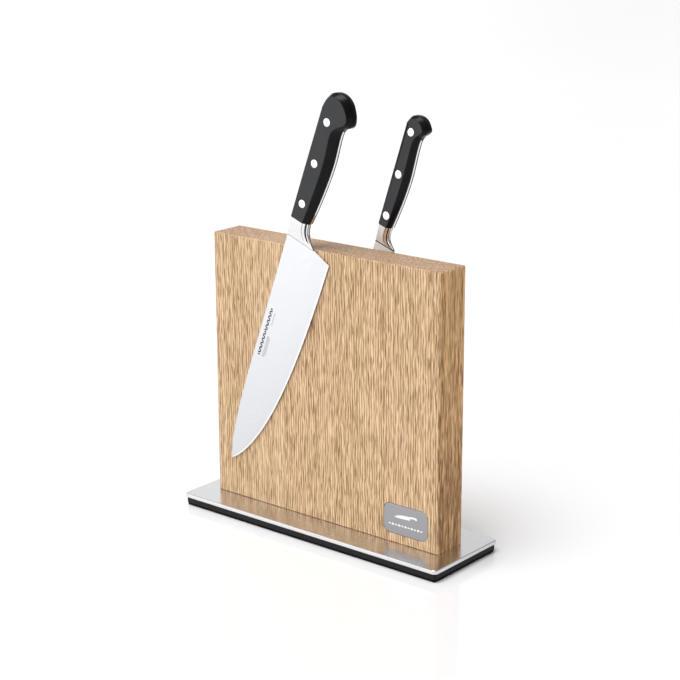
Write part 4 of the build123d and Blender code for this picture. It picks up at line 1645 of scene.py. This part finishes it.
@dataclass
class BladeEtching:
    """A plain ornament etched on the chef's knife near its back: a bold braid with fine rows beside it."""

    knife: Knife
    braid_across: float = 7.1
    braid_height: float = 2.8
    first: float = -118.0
    last: float = -72.0
    pitch: float = 2.3
    fine_rows: tuple[tuple[float, float, float], ...] = (
        (11.2, -118.0, -97.0), (12.5, -118.0, -97.0), (13.8, -116.0, -99.0), (11.6, -86.0, -73.0),
    )
    fine_width: float = 0.5
    fine_dash: float = 1.15
    fine_pitch: float = 1.7
    stroke_half: float = 0.72
    stroke_slant: float = 0.6
    lozenge_share: float = 0.75
    lift: float = 0.015

    def build(self, shop: Workshop) -> bpy.types.Object:
        """Build the ornament on the blade's front flank and put it on the knife's body.

        Args:
            shop: the workshop.

        Returns:
            The finished ornament.
        """
        mesh = stamp(self._braid() + self._fine(), self._on_flank, (self.lift, -self.lift))
        mark = shop.piece("chef_blade_etching", mesh, "etched_mark")
        mark.data.transform(self.knife.place())
        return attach(mark, self.knife.body.value)

    def _braid(self) -> list[list[Point]]:
        """Slanted strokes that lean one way and then the other, with lozenges at the middle and both ends.

        Returns:
            Their outlines.
        """
        shapes = []
        half = self.braid_height / 2
        count = int((self.last - self.first) / self.pitch)
        for number in range(count + 1):
            y = self.first + number * (self.last - self.first) / count
            x = self.braid_across
            if number in (0, count // 2, count):
                shapes.append(lozenge(x, y, half, half * self.lozenge_share))
                continue
            slant = self.stroke_slant if number % 2 else -self.stroke_slant
            stroke = self.stroke_half
            shapes.append([
                (x - half, y - slant - stroke), (x + half, y + slant - stroke),
                (x + half, y + slant + stroke), (x - half, y - slant + stroke),
            ])
        return shapes

    def _fine(self) -> list[list[Point]]:
        """Rows of short dashes.

        Returns:
            Their outlines.
        """
        shapes = []
        half = self.fine_dash / 2
        for x, first, last in self.fine_rows:
            count = int((last - first) / self.fine_pitch)
            for number in range(count):
                y = first + number * (last - first) / count
                shapes.append(bar(x, y + half, self.fine_width / 2, half))
        return shapes

    def _on_flank(self, point: Point, lift: float) -> Vector:
        """A point on the blade's front flank.

        Args:
            point: its place across and along.
            lift: its height off the flank.

        Returns:
            The point, in the knife's own millimetres.
        """
        x, y = point
        back, edge, thickness = smooth_values(self.knife.blade, y)
        shoulder = edge - self.knife.edge_bevel
        share = (x - back) / (shoulder - back)
        half = thickness / 2
        return Vector((x, y, half + (self.knife.edge_half - half) * share + lift))


CHEF_KNIFE = Knife(
    name="chef",
    body=Body.CHEF,
    held_on=Face.FRONT,
    origin_x=-36.0,
    above_block=10.5,
    lean=20.7,
    blade=(
        (-228.4, 10.3, 11.5, 0.7), (-222, 8.6, 16.8, 1.1), (-210, 6.0, 23.6, 1.4), (-195, 4.2, 29.8, 1.7),
        (-175, 2.5, 35.9, 1.9), (-150, 1.7, 41.1, 2.1), (-115, 1.25, 45.7, 2.3), (-75, 1.1, 48.5, 2.45),
        (-35, 0.8, 49.8, 2.6), (0, 0.35, 50.0, 2.6),
    ),
    heel=((31.2, 0.1), (48.9, -4.0), (50.0, -4.6), (53, -4.8), (53, 2), (31.2, 2)),
    bolster=(
        (0, 0.35, 0.7, 30.2, 31.3, 1.3), (2, 0.35, 0.8, 24.8, 28.6, 1.8), (4, 0.4, 1.0, 19.9, 26.3, 2.6),
        (7, 0.5, 1.5, 17.2, 24.0, 3.7), (11, 0.8, 2.2, 15.8, 21.6, 5.0), (15.3, 1.0, 2.6, 15.5, 20.5, 6.2),
        (19.6, 1.0, 2.7, 15.8, 20.0, 7.0),
    ),
    widest=HandleOutline(
        back_front=(1.0, 19.6), back_end=(0.4, 117),
        butt=(
            (0.9, 124.5), (2.6, 131), (5.4, 135), (9.6, 137.2), (14.6, 137.9), (19.6, 137.2), (24.8, 134.4),
            (28.9, 129.7), (31.8, 124.4),
        ),
        hook_tip=(33.0, 118.6), throat=((31.6, 115.4), (27.4, 112.6)),
        belly_end=(24.5, 105), belly=((25.9, 79), (24.1, 49), (22.1, 32.5)), belly_front=(20.0, 19.6),
    ),
    flat=HandleOutline(
        back_front=(2.6, 19.6), back_end=(1.7, 117),
        butt=(
            (2.4, 124), (3.7, 128.6), (6, 132.2), (9.6, 134.3), (13.6, 134.6), (17.6, 133.4), (21.4, 131.2),
            (25, 127.9), (27.8, 124.2),
        ),
        hook_tip=(29.2, 119.8), throat=((27.4, 116), (22.8, 112.4)),
        belly_end=(17.5, 103), belly=((19.3, 78), (18.4, 50), (17.2, 33)), belly_front=(15.8, 19.6),
    ),
    half_depth=7.0,
    rivets=((9.9, 35.1), (10.3, 73.1), (10.6, 111.3)),
    hook_start=109.0,
    tongue=(4.5, 18.0, 121.0),
    spine_bevel=(2.6, 0.6),
)

UTILITY_KNIFE = Knife(
    name="utility",
    body=Body.UTILITY,
    held_on=Face.REAR,
    origin_x=30.6,
    above_block=7.4,
    lean=18.9,
    blade=(
        (-140, 3.2, 4.2, 0.6), (-133, 2.0, 8.6, 0.9), (-120, 0.8, 13.2, 1.2), (-100, 0.2, 17.2, 1.5),
        (-70, 0.0, 19.8, 1.8), (-35, 0.0, 21.0, 2.0), (0, 0.0, 21.4, 2.2),
    ),
    heel=((20.4, 0.3), (21.1, -0.4), (24, -0.8), (24, 2), (20.4, 2)),
    bolster=(
        (0, 0.0, 0.5, 19.6, 20.6, 1.1), (1.5, 0.0, 0.6, 13.0, 19.2, 1.6), (3.2, 0.1, 0.8, 9.8, 17.3, 2.3),
        (6.5, 0.3, 1.5, 8.8, 14.0, 3.7), (11.5, 0.5, 2.4, 8.8, 12.4, 5.2), (18.0, 0.5, 2.9, 9.8, 12.7, 6.5),
    ),
    widest=HandleOutline(
        back_front=(0.5, 18), back_end=(-0.2, 107),
        butt=((0.4, 113.2), (2.6, 116.8), (6.6, 118.5), (11, 118.9), (15.4, 117.5), (18.9, 114.4)),
        hook_tip=(21.2, 110.3), throat=((19.8, 107.3), (17.2, 104.2)),
        belly_end=(15.2, 96), belly=((16.8, 62), (15.6, 41), (14.2, 29)), belly_front=(12.7, 18),
    ),
    flat=HandleOutline(
        back_front=(1.5, 18), back_end=(0.8, 107),
        butt=((1.5, 111.8), (3.6, 114.8), (7, 116.2), (10.6, 116), (13.8, 114.4), (16.4, 112)),
        hook_tip=(17.8, 109.4), throat=((16.6, 106.9), (14, 103.8)),
        belly_end=(11.4, 96), belly=((12.4, 62), (11.8, 41), (11.2, 29)), belly_front=(10, 18),
    ),
    half_depth=6.5,
    rivets=((6.8, 27.9), (6.9, 66.2), (7.0, 104.5)),
    hook_start=100.0,
    tongue=(3.4, 12.0, 112.0),
    spine_bevel=(3.2, 1.1),
    steels=(
        "small_flank", "blade_edge", "bolster_steel", "joint_gap", "bolster_satin", "bolster_shade", "bolster_warm",
    ),
    joint_bands=2,
)


# ------------------------------------------------------------------ studio
@dataclass
class Studio:
    """Camera, white floor and soft light."""

    azimuth: float = 39.63
    elevation: float = 15.85
    roll: float = -0.20
    stand: Triple = (0.9217, -1.1059, 0.5816)
    lens: float = 91.89
    sensor: float = 36.0
    floor_half: float = 30.0
    floor_tones: tuple[Colour, Colour] = ((0.86, 0.86, 0.87), (0.88, 0.88, 0.89))
    floor_gloss: float = 0.08
    horizon_bright: float = 1.10
    horizon_dim: float = 0.88
    side_dark: float = 0.26
    front_wall: float = 1.8
    overhead: float = 0.38
    sun_from: Triple = (-0.05, -0.32, 0.94)
    sun_strength: float = 2.45
    sun_spread: float = 38.0

    def build(self) -> None:
        """Set up the whole studio."""
        self._camera()
        self._floor()
        self._sky()
        self._overhead_light()
        bpy.context.scene.view_settings.view_transform = "Standard"

    def _camera(self) -> None:
        """Stand the camera off the rack's right front corner."""
        lens = bpy.data.cameras.new("camera")
        lens.lens = self.lens
        lens.sensor_width = self.sensor
        thing = bpy.data.objects.new("camera", lens)
        turn = (
            Matrix.Rotation(math.radians(self.azimuth), 4, "Z")
            @ Matrix.Rotation(math.radians(90 - self.elevation), 4, "X")
            @ Matrix.Rotation(math.radians(self.roll), 4, "Z")
        )
        thing.matrix_world = Matrix.Translation(self.stand) @ turn
        bpy.context.scene.collection.objects.link(thing)
        bpy.context.scene.camera = thing

    def _floor(self) -> None:
        """A plain white floor with a faint sheen."""
        bench = NodeBench("floor_white")
        mottle = bench.noise(bench.place((3, 3, 3)), 2.0)
        colour = bench.mix(mottle, *self.floor_tones)
        material = bench.finish(Base_Color=colour, Roughness=self.floor_gloss, Specular_IOR_Level=0.42)
        half = self.floor_half
        data = bpy.data.meshes.new("floor")
        corners = [(*corner, 0) for corner in bar(0, 0, half, half)]
        data.from_pydata(corners, [], [(0, 1, 2, 3)])
        data.materials.append(material)
        floor = bpy.data.objects.new("floor", data)
        bpy.context.scene.collection.objects.link(floor)

    def _overhead_light(self) -> None:
        """One very soft light from high on the left front."""
        lamp = bpy.data.lights.new("overhead_light", "SUN")
        lamp.energy = self.sun_strength
        lamp.angle = math.radians(self.sun_spread)
        thing = bpy.data.objects.new("overhead_light", lamp)
        thing.matrix_world = (-Vector(self.sun_from)).to_track_quat("-Z", "Y").to_matrix().to_4x4()
        bpy.context.scene.collection.objects.link(thing)

    def _sky(self) -> None:
        """White walls round the set, brightest on the left, dim on the right and overhead."""
        world = bpy.data.worlds.new("studio")
        world.use_nodes = True
        tree = world.node_tree
        background = tree.nodes["Background"]
        background.inputs["Strength"].default_value = 1.0
        look = tree.nodes.new("ShaderNodeTexCoord").outputs["Generated"]
        axes = tree.nodes.new("ShaderNodeSeparateXYZ")
        tree.links.new(look, axes.inputs[0])

        def fade(axis: int, start: float, end: float, low: Value, high: Value) -> Socket:
            """Brightness that goes from one level to another along an axis of the view.

            Args:
                axis: the axis, as a number.
                start: where it sets off.
                end: where it arrives.
                low: the level at the start.
                high: the level at the end.

            Returns:
                The brightness' socket.
            """
            node = tree.nodes.new("ShaderNodeMapRange")
            node.interpolation_type = "SMOOTHSTEP"
            tree.links.new(axes.outputs[axis], node.inputs["Value"])
            for key, value in (("From Min", start), ("From Max", end), ("To Min", low), ("To Max", high)):
                if isinstance(value, bpy.types.NodeSocket):
                    tree.links.new(value, node.inputs[key])
                else:
                    node.inputs[key].default_value = value
            return node.outputs["Result"]

        left_part = fade(0, -0.70, -0.50, self.horizon_bright, self.horizon_dim)
        walls = fade(1, -0.15, -0.60, left_part, self.front_wall)
        walls = fade(0, 0.10, 0.50, walls, self.side_dark)
        tree.links.new(fade(2, 0.35, 0.62, walls, self.overhead), background.inputs["Color"])
        bpy.context.scene.world = world


def main() -> None:
    """Build the studio, the rack and the knives, and report each piece."""
    logging.basicConfig(level=logging.INFO, format="%(name)s: %(message)s")
    Studio().build()
    shop = Workshop(Finishes())
    discs = DiscTree()
    pieces = SteelBase().build(shop, discs)
    pieces += OakBlock().build(shop, discs)
    pieces += HiddenFixings().dress(shop)
    for knife in (CHEF_KNIFE, UTILITY_KNIFE):
        pieces += knife.build(shop, discs)
    pieces.append(BladeEtching(CHEF_KNIFE).build(shop))
    for piece in pieces:
        log.info("%s: %d faces", piece.name, len(piece.data.polygons))


if __name__ == "__main__":
    main()
